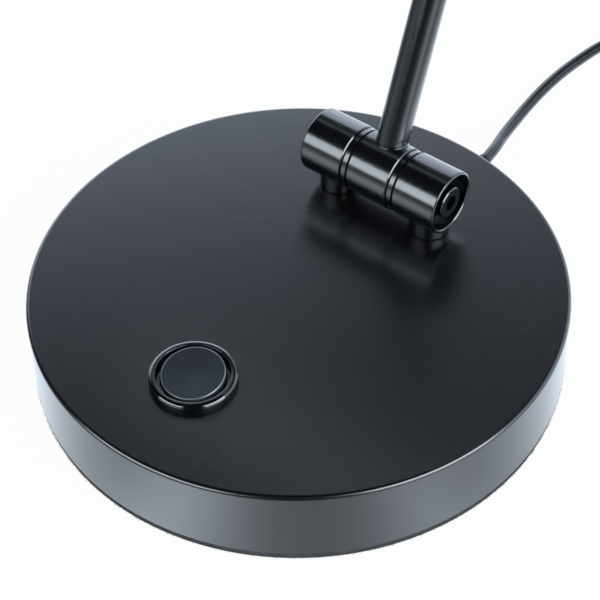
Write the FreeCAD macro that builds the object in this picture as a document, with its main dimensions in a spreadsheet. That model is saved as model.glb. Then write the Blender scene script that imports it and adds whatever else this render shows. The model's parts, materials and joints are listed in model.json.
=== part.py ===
import FreeCAD, Part
import math
import os

import Sketcher
from FreeCAD import Placement, Rotation, Vector

# Piano lamp: a weighted round base with a push button, a friction hinge, an arm, a second
# hinge and a trough shade. Millimetres, +Z up. The origin is the centre of the felt's
# underside and the push button is towards -Y. The hinge axes lie along X, and the arm leans
# back towards +Y at rest.

SIZES = {
    # base
    "base_radius": 104,
    "felt_thickness": 2.5,
    "felt_inset": 0.5,
    "cover_height": 32.5,
    "cover_top": 3.5,
    "cover_wall": 3.5,
    "cover_round": 1.6,
    "cover_chamfer": 0.7,
    "inner_round": 2.0,
    "plate_thickness": 2.2,
    "plate_gap": 0.3,
    "ballast_thickness": 7,
    "ballast_gap": 3.5,
    "ballast_round": 1.2,
    "switch_opening_gap": 5.5,
    "boss_radius": 5,
    "boss_inset": 14,
    "boss_angle": 45,
    "plate_screw_radius": 2,
    "plate_screw_head": 3.9,
    "plate_screw_cone": 1.9,
    "plate_screw_length": 18,
    # clearances shared by several fits
    "screw_clearance": 0.3,
    "running_clearance": 0.05,
    "seat_clearance": 0.02,
    "slot_clearance": 0.1,
    "slide_clearance": 0.3,
    "lead_clearance": 0.2,
    # friction hinges
    "hinge_setback": 55.3,
    "hinge_rise": 18,
    "barrel_radius": 13,
    "centre_half_length": 9.3,
    "washer_thickness": 0.8,
    "washer_inset": 1.2,
    "disc_thickness": 1.8,
    "disc_inset": 0.3,
    "edge_chamfer": 0.4,
    "end_round": 0.8,
    "pivot_radius": 6.5,
    "pivot_bore": 4.5,
    "pivot_engagement": 4,
    "pivot_end_gap": 0.3,
    "pivot_plug": 1,
    "lead_window": 3.2,
    "window_margin": 1.3,
    "blind_wall": 5,
    "web_thickness": 5.1,
    "counterbore_depth": 10,
    "counterbore_wall": 1.5,
    "hinge_screw_radius": 4,
    "hinge_screw_head": 6.5,
    "hinge_screw_head_height": 8,
    "hinge_screw_end_gap": 1,
    "hex_socket_across": 6,
    "hex_socket_depth": 4,
    "spring_rim_gap": 1.5,
    "spring_thickness": 0.7,
    "spring_cone": 0.2,
    "post_radius": 8,
    "post_offset": 22,
    "post_bore": 2.2,
    "post_chamfer": 0.6,
    "post_seat_allowance": 2,
    "stud_radius": 5,
    "stud_length": 10.5,
    "nut_across": 14,
    "nut_thickness": 3,
    "nut_flange_radius": 8.5,
    "nut_flange": 1,
    "lead_radius": 1.5,
    "lead_bend": 2.9,
    "lead_edge_gap": 5,
    "lead_landing": 8,
    # arm
    "tube_radius": 6.35,
    "tube_wall": 1.5,
    "tube_end_gap": 0.7,
    "arm_length": 360,
    "arm_lean": 22,
    # head
    "head_lean": 85,
    "shade_radius": 30,
    "shade_wall": 1.2,
    "shade_leg": 12,
    "shade_length": 480,
    "shade_tip": 20,
    "shade_saddle_angle": 65,
    "cap_thickness": 2.5,
    "cap_round": 0.8,
    "rib_width": 2.5,
    "rib_thickness": 1.1,
    "channel_radius": 2.6,
    "channel_bore": 1.25,
    "channel_sink": 0.4,
    "channel_angle": 20,
    "cap_screw_head": 2.7,
    "cap_screw_head_height": 1.6,
    "cap_screw_length": 9,
    "saddle_washer": 2.2,
    "carrier_thickness": 2,
    "carrier_hole_x": 44,
    "carrier_hole_y": 13,
    "head_lead_drop": 3,
    "head_lead_turn": 4.5,
    "strip_end_gap": 0.5,
    "board_width": 20,
    "board_thickness": 1.6,
    "board_end_gap": 4,
    "led_count": 24,
    "led_length": 3.5,
    "led_width": 2.8,
    "led_height": 0.8,
    "diffuser_thickness": 2,
    # push button
    "button_setback": 61.8,
    "bezel_radius": 16.5,
    "bezel_height": 3.5,
    "bezel_opening": 14,
    "bezel_round": 1.5,
    "bezel_lip": 0.4,
    "bezel_recess": 3,
    "bezel_bore": 12.4,
    "sleeve_radius": 13.5,
    "sleeve_length": 13,
    "sleeve_clearance": 0.2,
    "cap_side_gap": 0.4,
    "cap_middle": 3.7,
    "cap_slope": 6,
    "cap_dish": 0.5,
    "cap_rim": 0.4,
    "cap_edge_round": 0.6,
    "cap_top": 2,
    "cap_skirt": 1.5,
    "cap_skirt_depth": 6,
    "stem_radius": 2.5,
    "stem_depth": 17,
    "switch_height": 9,
    "switch_floor": 2,
    "button_nut_across": 34,
    "button_nut_thickness": 3,
    "return_spring_radius": 6,
    "return_spring_wire": 0.35,
    "return_spring_turns": 3,
    "return_spring_bends": 8,
    "terminal_floor_gap": 2.3,
    "terminal_width": 2.8,
    "terminal_thickness": 0.8,
    "terminal_pitch": 6,
    # driver board
    "pcb_length": 90,
    "pcb_depth": 60,
    "pcb_thickness": 1.6,
    "pcb_setback": 6,
    "spacer_height": 3,
    "spacer_radius": 3,
    "spacer_inset": 5,
    "small_screw_radius": 1.5,
    "small_screw_head": 2.8,
    "small_screw_head_height": 1.8,
    "small_screw_length": 10,
    "component_headroom": 3.2,
    "block_length": 24,
    "block_depth": 10,
    "block_offset": 20,
    "block_edge_gap": 2,
    "block_entry_radius": 1.6,
    "block_entry_pitch": 7,
    "block_entry_depth": 4,
    "capacitor_radius": 5,
    "capacitor_offset": 14,
    "capacitor_pitch": 14,
    "transformer_length": 26,
    "transformer_depth": 22,
    "transformer_core_depth": 11,
    "transformer_winding_length": 17,
    "transformer_winding_drop": 2,
    "transformer_offset": 22,
    "transformer_setback": 14,
    # cord, its strain relief and clamp, and the plug
    "cord_radius": 2.5,
    "cord_exit_x": 2.5,
    "cord_height": 9,
    "cord_hole_radius": 4,
    "relief_collar_radius": 5.2,
    "relief_collar": 1.6,
    "relief_root_radius": 4,
    "relief_tip_radius": 3,
    "relief_length": 22,
    "relief_groove": 0.6,
    "relief_rings": 5,
    "relief_flange_radius": 5.4,
    "relief_flange": 1.8,
    "relief_wall_gap": 0.5,
    "cord_notch_half_width": 13,
    "cord_notch_length": 42,
    "clamp_inset": 18,
    "clamp_width": 22,
    "clamp_depth": 8,
    "clamp_height": 8.5,
    "clamp_round": 1.5,
    "clamp_screw_spacing": 14,
    "mains_bend": 7,
    "mains_rise": 8.5,
    "mains_run_in": 20,
    "mains_clamp_gap": 2,
    "mains_notch_gap": 4,
    "coil_centre_x": 51.5,
    "coil_centre_y": 275,
    "coil_mean_radius": 29.5,
    "coil_half_width": 8,
    "coil_height": 20,
    "coil_round": 2.4,
    "tie_width": 6,
    "tie_thickness": 0.8,
    "tie_angle": 300,
    "plug_x": 100.5,
    "plug_tail_y": 265,
    "plug_length": 36,
    "plug_grip_width": 13,
    "plug_face_width": 26,
    "plug_flare_start": 15,
    "plug_flare_end": 29,
    "plug_thickness": 14,
    "plug_round": 2.5,
    "plug_corner": 2,
    "plug_relief_length": 20,
    "plug_relief_root": 4.6,
    "plug_relief_tip": 3.1,
    "pin_radius": 2,
    "pin_length": 19,
    "pin_round": 1.2,
    "pin_spacing": 18.6,
}

# heights in the base
FELT = "Sheet.felt_thickness"
TOP = "(Sheet.felt_thickness + Sheet.cover_height)"
CEILING = "(%s - Sheet.cover_top)" % TOP
PLATE_TOP = "(Sheet.felt_thickness + Sheet.plate_thickness)"
BALLAST_TOP = "(%s + Sheet.ballast_thickness)" % PLATE_TOP
CLAMP_TOP = "(%s + Sheet.clamp_height)" % PLATE_TOP
PCB_TOP = "(%s + Sheet.spacer_height + Sheet.pcb_thickness)" % BALLAST_TOP
COMPONENT_HEIGHT = "(%s - %s - Sheet.component_headroom)" % (CEILING, PCB_TOP)
AXIS_Z = "(%s + Sheet.hinge_rise)" % TOP

# radii and places in the base
INSIDE_RADIUS = "(Sheet.base_radius - Sheet.cover_wall)"
BALLAST_RADIUS = "(%s - Sheet.ballast_gap)" % INSIDE_RADIUS
BOSS_CIRCLE = "(Sheet.base_radius - Sheet.boss_inset)"
BOSS_X = "%s * cos(Sheet.boss_angle)" % BOSS_CIRCLE
BOSS_Y = "%s * sin(Sheet.boss_angle)" % BOSS_CIRCLE
NOTCH_START = "(Sheet.base_radius - Sheet.cord_notch_length)"
CLAMP_Y = "(Sheet.base_radius - Sheet.clamp_inset)"
RELIEF_END = "(%s - Sheet.relief_wall_gap - Sheet.relief_flange)" % INSIDE_RADIUS
BLOCK_BACK = "(Sheet.pcb_depth / 2 - Sheet.block_edge_gap)"

# places along a hinge, from its middle
SIDE_START = "(Sheet.centre_half_length + 2 * Sheet.washer_thickness + Sheet.disc_thickness)"
WEB_X = "(%s + Sheet.pivot_engagement)" % SIDE_START
COUNTERBORE_X = "(%s + Sheet.web_thickness)" % WEB_X
HALF_LENGTH = "(%s + Sheet.counterbore_depth)" % COUNTERBORE_X
PIVOT_RIGHT = "(%s - Sheet.pivot_end_gap)" % WEB_X
PIVOT_LEFT = "(%s - Sheet.blind_wall)" % HALF_LENGTH
PIVOT_BORE_END = "(Sheet.lead_window + Sheet.window_margin)"
THREAD_START = "(%s + Sheet.pivot_plug)" % PIVOT_BORE_END
HEAD_SEAT_X = "(%s + 2 * Sheet.spring_thickness + 2 * Sheet.spring_cone)" % COUNTERBORE_X
HEAD_END_X = "(%s + Sheet.hinge_screw_head_height)" % HEAD_SEAT_X
COUNTERBORE_RADIUS = "(Sheet.barrel_radius - Sheet.counterbore_wall)"
PIVOT_SEAT = "(Sheet.pivot_radius + Sheet.seat_clearance)"
PIVOT_RUN = "(Sheet.pivot_radius + Sheet.running_clearance)"
STUD_SEAT = "(Sheet.stud_radius + Sheet.seat_clearance)"
SOCKET_RADIUS = "(Sheet.tube_radius + Sheet.seat_clearance)"
TUBE_START = "(Sheet.pivot_radius + Sheet.tube_end_gap)"

# levels and widths in the shade, from its own axis
SHADE_INSIDE = "(Sheet.shade_radius - Sheet.shade_wall)"
EXTRUSION_LENGTH = "(Sheet.shade_length - 2 * Sheet.cap_thickness)"
SLIDE_HALF = "(%s - Sheet.slide_clearance)" % SHADE_INSIDE
CARRIER_LOW = "(-Sheet.carrier_thickness)"
BOARD_LOW = "(%s - Sheet.board_thickness)" % CARRIER_LOW
BOARD_LENGTH = "(%s - 2 * Sheet.board_end_gap)" % EXTRUSION_LENGTH
LED_PITCH = "(%s / Sheet.led_count)" % BOARD_LENGTH
DIFFUSER_LOW = "(-Sheet.shade_leg + Sheet.rib_thickness + Sheet.slot_clearance)"
DIFFUSER_HIGH = "(%s + Sheet.diffuser_thickness)" % DIFFUSER_LOW
CHANNEL_REACH = "(%s - Sheet.channel_radius + Sheet.channel_sink)" % SHADE_INSIDE
CHANNEL_Y = "%s * sin(Sheet.channel_angle)" % CHANNEL_REACH
CHANNEL_Z = "%s * cos(Sheet.channel_angle)" % CHANNEL_REACH
NUT_SEAT = "(Sheet.hinge_rise + Sheet.shade_wall + Sheet.saddle_washer)"

# levels of the push button, from the top of the base
CAP_RADIUS = "(Sheet.bezel_bore - Sheet.cap_side_gap)"
CAP_BLANK = "(Sheet.cap_middle + 2 * %s * tan(Sheet.cap_slope))" % CAP_RADIUS
CAP_INSIDE = "(Sheet.cap_middle - Sheet.cap_top)"
SWITCH_LOW = "(Sheet.sleeve_length + Sheet.switch_height)"
TERMINAL_LENGTH = "(%s - %s - %s - Sheet.terminal_floor_gap)" % (TOP, SWITCH_LOW, PLATE_TOP)

# coil of the cord
COIL_INNER = "(Sheet.coil_mean_radius - Sheet.coil_half_width)"
COIL_OUTER = "(Sheet.coil_mean_radius + Sheet.coil_half_width)"

# the cord's route from the strain relief to the coil, and from the coil to the plug
CORD_ROUTE = [
    (2.5, 126, 9), (1.8, 132, 8.5), (0.3, 138.5, 7), (-1.9, 145.5, 5), (-3.6, 153, 3.7),
    (-5, 162, 2.9), (-6.3, 173, 2.5), (-7.2, 187, 2.5), (-6.9, 203, 2.5), (-5.2, 217, 2.5),
    (-3, 230, 2.5), (1.5, 242.5, 2.5), (8.5, 253.5, 2.5), (14.2, 264.5, 2.5), (16.5, 276.5, 2.5),
]
TAIL_ROUTE = [
    (51.5, 310, 17.5), (65, 310, 16.6), (77.7, 306.4, 14.4), (88.2, 299.2, 11.6),
    (95.8, 289.2, 9.2), (99.9, 277.6, 7.6), (100.5, 265, 7),
]

doc = FreeCAD.newDocument("PianoLamp")
sheet = doc.addObject("Spreadsheet::Sheet", "Sheet")
for row, (alias, value) in enumerate(SIZES.items(), start=1):
    sheet.set("A%d" % row, alias)
    sheet.set("B%d" % row, str(value))
    sheet.setAlias("B%d" % row, alias)
doc.recompute()

nodes = []


def size(alias):
    """One driving dimension from the sheet."""
    return float(getattr(sheet, alias))


def total(expression):
    """The number that an expression over the sheet works out to."""
    return float(sheet.evalExpression(expression.replace("Sheet.", "")))


# ---------------------------------------------------------------- modelling helpers

def new_body(label):
    """An empty body whose label is the sub-part's name."""
    body = doc.addObject("PartDesign::Body", label)
    body.Label = label
    nodes.append(body)
    return body


def origin_plane(body, role):
    """The plane of the body's origin that has this role."""
    return [plane for plane in body.Origin.OriginFeatures if plane.Role == role][0]


def sketch_on(body, role="XY_Plane", offset=None, tilt=0.0):
    """A sketch on an origin plane of the body, raised by an expression or tilted about X."""
    sketch = body.newObject("Sketcher::SketchObject", body.Label + "_sketch")
    sketch.AttachmentSupport = (origin_plane(body, role), [""])
    sketch.MapMode = "FlatFace"
    if tilt:
        sketch.AttachmentOffset = Placement(Vector(), Rotation(Vector(1, 0, 0), tilt))
    if offset is not None:
        sketch.setExpression("AttachmentOffset.Base.z", offset)
    return sketch


def pin_point(sketch, geometry, point, x, y):
    """Hold a point of the sketch at x and y, both expressions."""
    for kind, expression in (("DistanceX", x), ("DistanceY", y)):
        index = sketch.addConstraint(Sketcher.Constraint(kind, -1, 1, geometry, point, 1.0))
        sketch.setExpression("Constraints[%d]" % index, str(expression))


def outline(sketch, points):
    """A closed outline through corners given as pairs of expressions."""
    first = sketch.GeometryCount
    count = len(points)
    angles = [2 * math.pi * k / count for k in range(count)]
    start = [Vector(20 * math.cos(angle), 20 * math.sin(angle), 0) for angle in angles]
    for k in range(count):
        sketch.addGeometry(Part.LineSegment(start[k], start[(k + 1) % count]))
    for k in range(count):
        following = first + (k + 1) % count
        sketch.addConstraint(Sketcher.Constraint("Coincident", first + k, 2, following, 1))
    for k, (x, y) in enumerate(points):
        pin_point(sketch, first + k, 1, x, y)


def rectangle(sketch, x_low, x_high, y_low, y_high):
    """A rectangle between four expressions."""
    outline(sketch, [(x_low, y_low), (x_high, y_low), (x_high, y_high), (x_low, y_high)])


def centred(sketch, x, y, length, width):
    """A rectangle round a centre."""
    rectangle(sketch, "%s - (%s) / 2" % (x, length), "%s + (%s) / 2" % (x, length),
              "%s - (%s) / 2" % (y, width), "%s + (%s) / 2" % (y, width))


def circle(sketch, x, y, radius):
    """A circle placed and sized by expressions."""
    index = sketch.addGeometry(Part.Circle(Vector(1, 1, 0), Vector(0, 0, 1), 1))
    pin_point(sketch, index, 3, x, y)
    constraint = sketch.addConstraint(Sketcher.Constraint("Radius", index, 1.0))
    sketch.setExpression("Constraints[%d]" % constraint, str(radius))


def hexagon(sketch, x, y, across):
    """A hexagon of this width across flats."""
    corner = "(%s) / (2 * cos(30))" % across
    points = [("%s + %s * cos(%d)" % (x, corner, angle), "%s + %s * sin(%d)" % (y, corner, angle))
              for angle in range(30, 390, 60)]
    outline(sketch, points)


def arch(sketch, radius, leg):
    """The shade's section: a half circle on two straight legs, open towards the sketch's -Y."""
    semicircle = Part.ArcOfCircle(Part.Circle(Vector(0, 0, 0), Vector(0, 0, 1), 10), 0, math.pi)
    corners = [Vector(-10, 0, 0), Vector(-10, -5, 0), Vector(10, -5, 0), Vector(10, 0, 0)]
    arc = sketch.addGeometry(semicircle)
    sides = [sketch.addGeometry(Part.LineSegment(a, b)) for a, b in zip(corners, corners[1:])]
    chain = [arc] + sides
    for geometry, following in zip(chain, sides + [arc]):
        sketch.addConstraint(Sketcher.Constraint("Coincident", geometry, 2, following, 1))
    sketch.addConstraint(Sketcher.Constraint("Coincident", arc, 3, -1, 1))
    pin_point(sketch, sides[0], 1, "-(%s)" % radius, "0")
    pin_point(sketch, sides[1], 1, "-(%s)" % radius, "-(%s)" % leg)
    pin_point(sketch, sides[2], 1, radius, "-(%s)" % leg)
    level = sketch.addConstraint(Sketcher.Constraint("DistanceY", -1, 1, arc, 1, 1.0))
    sketch.setExpression("Constraints[%d]" % level, "0")


def upright_axis(sketch, x):
    """A construction line parallel to the sketch's Y, which a revolution can turn about."""
    index = sketch.addGeometry(Part.LineSegment(Vector(1, 0, 0), Vector(1, 5, 0)), True)
    pin_point(sketch, index, 1, x, "0")
    pin_point(sketch, index, 2, x, "5")
    return "Axis0"


def pad(body, sketch, length, midplane=False, reverse=False):
    """Extrude the sketch by an expression."""
    feature = body.newObject("PartDesign::Pad", body.Label + "_pad")
    feature.Profile = sketch
    feature.Midplane = midplane
    feature.Reversed = reverse
    feature.setExpression("Length", length)
    doc.recompute()
    return feature


def revolve(body, sketch, axis="V_Axis"):
    """Turn the sketch a full circle about one of its axes."""
    feature = body.newObject("PartDesign::Revolution", body.Label + "_revolution")
    feature.Profile = sketch
    feature.ReferenceAxis = (sketch, [axis])
    feature.Angle = 360
    doc.recompute()
    return feature


def check_cut(body, before):
    """Stop if a cut took nothing away."""
    doc.recompute()
    if body.Shape.Volume > before - 1e-6:
        raise RuntimeError("a cut of %s removes nothing" % body.Label)


def pocket(body, sketch, length=None, midplane=False, reverse=False):
    """Cut by the sketch, through everything on one side or to a length."""
    before = body.Shape.Volume
    feature = body.newObject("PartDesign::Pocket", body.Label + "_pocket")
    feature.Profile = sketch
    feature.Midplane = midplane
    feature.Reversed = reverse
    if length is None:
        feature.Type = "ThroughAll"
    else:
        feature.setExpression("Length", length)
    check_cut(body, before)
    return feature


def groove(body, sketch, axis):
    """Cut by turning the sketch a full circle about one of its axes."""
    before = body.Shape.Volume
    feature = body.newObject("PartDesign::Groove", body.Label + "_groove")
    feature.Profile = sketch
    feature.ReferenceAxis = (sketch, [axis])
    feature.Angle = 360
    check_cut(body, before)
    return feature


def around(body, feature, sketch, count):
    """Repeat a feature round the normal of its sketch's plane, through the sketch's origin."""
    repeat = body.newObject("PartDesign::PolarPattern", body.Label + "_pattern")
    repeat.Originals = [feature]
    repeat.Axis = (sketch, ["N_Axis"])
    repeat.Occurrences = count
    repeat.Angle = 360
    body.Tip = repeat
    doc.recompute()


def mirror(body, features, role="YZ_Plane"):
    """Repeat features on the other side of an origin plane."""
    repeat = body.newObject("PartDesign::Mirrored", body.Label + "_mirror")
    repeat.Originals = features
    repeat.MirrorPlane = (origin_plane(body, role), [""])
    body.Tip = repeat
    doc.recompute()


def middle_of(edge):
    """The point halfway along an edge."""
    return edge.valueAt((edge.FirstParameter + edge.LastParameter) / 2)


def dress(body, kind, amount, test):
    """Round ("Fillet") or bevel ("Chamfer") the edges that pass the test."""
    base = body.Tip
    names = ["Edge%d" % number for number, edge in enumerate(base.Shape.Edges, start=1)
             if test(edge, middle_of(edge))]
    if not names:
        raise RuntimeError("no edge to dress on %s" % body.Label)
    feature = body.newObject("PartDesign::" + kind, body.Label + "_" + kind.lower())
    feature.Base = (base, names)
    feature.setExpression("Radius" if kind == "Fillet" else "Size", amount)
    doc.recompute()


def ring(direction, at, radius):
    """A test for circular edges of a radius about X or Z, at a place along that axis."""
    at = total(at)
    radius = total(radius)

    def test(edge, middle):
        if not isinstance(edge.Curve, Part.Circle):
            return False
        along = middle.x if direction == "X" else middle.z
        return abs(edge.Curve.Radius - radius) < 1e-4 and abs(along - at) < 1e-4

    return test


def place(body, x="0", y="0", z="0", axis=Vector(1, 0, 0), angle=None):
    """Bind a body's Placement to expressions, with an optional turn about one axis."""
    if angle is not None:
        body.Placement = Placement(Vector(), Rotation(axis, 10))
        body.setExpression("Placement.Rotation.Angle", angle)
    for name, expression in (("x", x), ("y", y), ("z", z)):
        body.setExpression("Placement.Base." + name, expression)


def at_base_hinge(body):
    """The base hinge's frame: origin on its axis, posts towards -Z."""
    place(body, "0", "Sheet.hinge_setback", AXIS_Z)


def along_arm(distance):
    """The Y and Z of a point that far along the arm from the base hinge."""
    return ("(Sheet.hinge_setback + (%s) * sin(Sheet.arm_lean))" % distance,
            "(%s + (%s) * cos(Sheet.arm_lean))" % (AXIS_Z, distance))


def on_arm(body, distance="0", flip=False):
    """The arm's frame: origin on the arm's line, +Z along it, or back along it if flipped."""
    y, z = along_arm(distance)
    place(body, "0", y, z, angle="180 - Sheet.arm_lean" if flip else "-Sheet.arm_lean")


def at_arm_top(body):
    """The arm's frame at its upper end, turned over."""
    on_arm(body, "Sheet.arm_length", flip=True)


def at_head_hinge(body):
    """The head hinge's frame: origin on its axis, posts towards -Z, which points at the shade."""
    y, z = along_arm("Sheet.arm_length")
    place(body, "0", y, z, angle="-Sheet.head_lean")


def shade_axis():
    """The Y and Z of the shade's own axis."""
    reach = "(Sheet.hinge_rise + Sheet.shade_radius)"
    y, z = along_arm("Sheet.arm_length")
    return ("(%s - %s * sin(Sheet.head_lean))" % (y, reach),
            "(%s - %s * cos(Sheet.head_lean))" % (z, reach))


def in_shade(body):
    """The shade's frame: origin on its axis, mouth towards -Z."""
    y, z = shade_axis()
    place(body, "0", y, z, angle="-Sheet.shade_tip")


def at_button(body):
    """The push button's frame: origin in the middle of its hole, on the top of the base."""
    place(body, "0", "-Sheet.button_setback", TOP)


def on_board(body):
    """The driver board's frame: origin in the middle of its upper face."""
    place(body, "0", "-Sheet.pcb_setback", PCB_TOP)


# ---------------------------------------------------------------- base housing

def base_cover():
    """Turned cover with four screw bosses, two stud holes, a button hole and a cord hole."""
    body = new_body("base_cover")
    profile = sketch_on(body, "XZ_Plane")
    outline(profile, [("0", CEILING), (INSIDE_RADIUS, CEILING), (INSIDE_RADIUS, FELT),
                      ("Sheet.base_radius", FELT), ("Sheet.base_radius", TOP), ("0", TOP)])
    revolve(body, profile)
    dress(body, "Fillet", "Sheet.inner_round", ring("Z", CEILING, INSIDE_RADIUS))
    dress(body, "Fillet", "Sheet.cover_round", ring("Z", TOP, "Sheet.base_radius"))
    dress(body, "Chamfer", "Sheet.cover_chamfer", ring("Z", FELT, "Sheet.base_radius"))
    bosses = sketch_on(body, "XY_Plane", BALLAST_TOP)
    circle(bosses, BOSS_X, BOSS_Y, "Sheet.boss_radius")
    boss = pad(body, bosses, "%s - %s" % (CEILING, BALLAST_TOP))
    around(body, boss, bosses, 4)
    pilots = sketch_on(body, "XY_Plane", FELT)
    circle(pilots, BOSS_X, BOSS_Y, "Sheet.plate_screw_radius + Sheet.seat_clearance")
    pilot = pocket(body, pilots, "Sheet.plate_screw_length + Sheet.plate_gap", reverse=True)
    around(body, pilot, pilots, 4)
    holes = sketch_on(body, "XY_Plane", TOP)
    circle(holes, "0", "-Sheet.button_setback", "Sheet.sleeve_radius + Sheet.sleeve_clearance")
    for side in ("", "-"):
        circle(holes, side + "Sheet.post_offset", "Sheet.hinge_setback",
               "Sheet.stud_radius + Sheet.screw_clearance")
    pocket(body, holes)
    exit_hole = sketch_on(body, "XZ_Plane")
    circle(exit_hole, "Sheet.cord_exit_x", "Sheet.cord_height", "Sheet.cord_hole_radius")
    pocket(body, exit_hole)


def in_plate(x, y):
    """A point of the base in the plate's own frame, which is turned about Z."""
    return ("(%s) * cos(Sheet.boss_angle) + (%s) * sin(Sheet.boss_angle)" % (x, y),
            "(%s) * cos(Sheet.boss_angle) - (%s) * sin(Sheet.boss_angle)" % (y, x))


def base_plate():
    """Round steel plate, countersunk, tapped for the cord clamp, notched for the strain relief."""
    body = new_body("base_plate")
    disc = sketch_on(body, "XY_Plane", FELT)
    circle(disc, "0", "0", "%s - Sheet.plate_gap" % INSIDE_RADIUS)
    pad(body, disc, "Sheet.plate_thickness")
    cone = sketch_on(body, "XZ_Plane")
    axis = upright_axis(cone, BOSS_CIRCLE)
    wide = "%s + Sheet.plate_screw_head + Sheet.screw_clearance" % BOSS_CIRCLE
    narrow = "%s + Sheet.plate_screw_radius + Sheet.screw_clearance" % BOSS_CIRCLE
    outline(cone, [(BOSS_CIRCLE, FELT), (wide, FELT), (narrow, FELT + " + Sheet.plate_screw_cone"),
                   (narrow, PLATE_TOP), (BOSS_CIRCLE, PLATE_TOP)])
    countersink = groove(body, cone, axis)
    around(body, countersink, disc, 4)
    taps = sketch_on(body, "XY_Plane", PLATE_TOP)
    for side in ("+", "-"):
        x, y = in_plate("Sheet.cord_exit_x %s Sheet.clamp_screw_spacing / 2" % side, CLAMP_Y)
        circle(taps, x, y, "Sheet.small_screw_radius + Sheet.seat_clearance")
    left, right = ("Sheet.cord_exit_x %s (Sheet.relief_flange_radius + Sheet.plate_gap)" % side
                   for side in "-+")
    edge = "%s - Sheet.plate_gap" % RELIEF_END
    outline(taps, [in_plate(left, edge), in_plate(right, edge),
                   in_plate(right, "Sheet.base_radius"), in_plate(left, "Sheet.base_radius")])
    pocket(body, taps)
    place(body, axis=Vector(0, 0, 1), angle="Sheet.boss_angle")


def ballast():
    """Iron disc that weighs the base down, open under the switch and beside the cord."""
    body = new_body("ballast")
    disc = sketch_on(body, "XY_Plane", PLATE_TOP)
    circle(disc, "0", "0", BALLAST_RADIUS)
    pad(body, disc, "Sheet.ballast_thickness")
    dress(body, "Fillet", "Sheet.ballast_round", ring("Z", BALLAST_TOP, BALLAST_RADIUS))
    cuts = sketch_on(body, "XY_Plane", BALLAST_TOP)
    circle(cuts, "0", "-Sheet.button_setback", "Sheet.sleeve_radius + Sheet.switch_opening_gap")
    rectangle(cuts, "Sheet.cord_exit_x - Sheet.cord_notch_half_width",
              "Sheet.cord_exit_x + Sheet.cord_notch_half_width", NOTCH_START, "Sheet.base_radius")
    for x, y in board_corners():
        circle(cuts, x, "%s - Sheet.pcb_setback" % y, "Sheet.small_screw_radius + Sheet.seat_clearance")
    pocket(body, cuts)
    holes = sketch_on(body, "XY_Plane", BALLAST_TOP)
    circle(holes, BOSS_X, BOSS_Y, "Sheet.plate_screw_radius + Sheet.screw_clearance")
    hole = pocket(body, holes)
    around(body, hole, holes, 4)


def felt_pad():
    """Felt glued under the plate and the cover's rim."""
    body = new_body("felt_pad")
    disc = sketch_on(body, "XY_Plane")
    circle(disc, "0", "0", "Sheet.base_radius - Sheet.felt_inset")
    pad(body, disc, "Sheet.felt_thickness")


def plate_screws():
    """Four countersunk screws that hold cover, ballast and plate together."""
    body = new_body("plate_screws")
    centre = sketch_on(body, "XY_Plane")
    profile = sketch_on(body, "XZ_Plane")
    axis = upright_axis(profile, BOSS_CIRCLE)
    shank = "%s + Sheet.plate_screw_radius" % BOSS_CIRCLE
    end = "%s + Sheet.plate_screw_length" % FELT
    outline(profile, [(BOSS_CIRCLE, FELT), ("%s + Sheet.plate_screw_head" % BOSS_CIRCLE, FELT),
                      (shank, FELT + " + Sheet.plate_screw_cone"), (shank, end), (BOSS_CIRCLE, end)])
    screw = revolve(body, profile, axis)
    around(body, screw, centre, 4)
    place(body, axis=Vector(0, 0, 1), angle="Sheet.boss_angle")


# ---------------------------------------------------------------- friction hinge

def barrel_left(label, locate):
    """The closed outer barrel: a blind bore holds the hollow pivot, a side hole takes the lead."""
    body = new_body(label)
    profile = sketch_on(body, "XZ_Plane")
    floor = "-(%s + Sheet.seat_clearance)" % PIVOT_LEFT
    outline(profile, [("-" + HALF_LENGTH, "0"), ("-" + HALF_LENGTH, "Sheet.barrel_radius"),
                      ("-" + SIDE_START, "Sheet.barrel_radius"), ("-" + SIDE_START, PIVOT_SEAT),
                      (floor, PIVOT_SEAT), (floor, "0")])
    revolve(body, profile, "H_Axis")
    dress(body, "Fillet", "Sheet.end_round", ring("X", "-" + HALF_LENGTH, "Sheet.barrel_radius"))
    dress(body, "Chamfer", "Sheet.edge_chamfer", ring("X", "-" + SIDE_START, "Sheet.barrel_radius"))
    lead_hole = sketch_on(body, "XY_Plane")
    circle(lead_hole, "-Sheet.post_offset", "0", "Sheet.post_bore")
    pocket(body, lead_hole)
    locate(body)


def barrel_right(label, locate):
    """The outer barrel on the screw's side, with a wide counterbore for head and springs."""
    body = new_body(label)
    profile = sketch_on(body, "XZ_Plane")
    shank = "Sheet.hinge_screw_radius + Sheet.screw_clearance"
    outline(profile, [(SIDE_START, PIVOT_SEAT), (SIDE_START, "Sheet.barrel_radius"),
                      (HALF_LENGTH, "Sheet.barrel_radius"), (HALF_LENGTH, COUNTERBORE_RADIUS),
                      (COUNTERBORE_X, COUNTERBORE_RADIUS), (COUNTERBORE_X, shank),
                      (WEB_X, shank), (WEB_X, PIVOT_SEAT)])
    revolve(body, profile, "H_Axis")
    dress(body, "Fillet", "Sheet.end_round", ring("X", HALF_LENGTH, "Sheet.barrel_radius"))
    dress(body, "Chamfer", "Sheet.edge_chamfer", ring("X", SIDE_START, "Sheet.barrel_radius"))
    dress(body, "Chamfer", "Sheet.edge_chamfer", ring("X", HALF_LENGTH, COUNTERBORE_RADIUS))
    locate(body)


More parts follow.
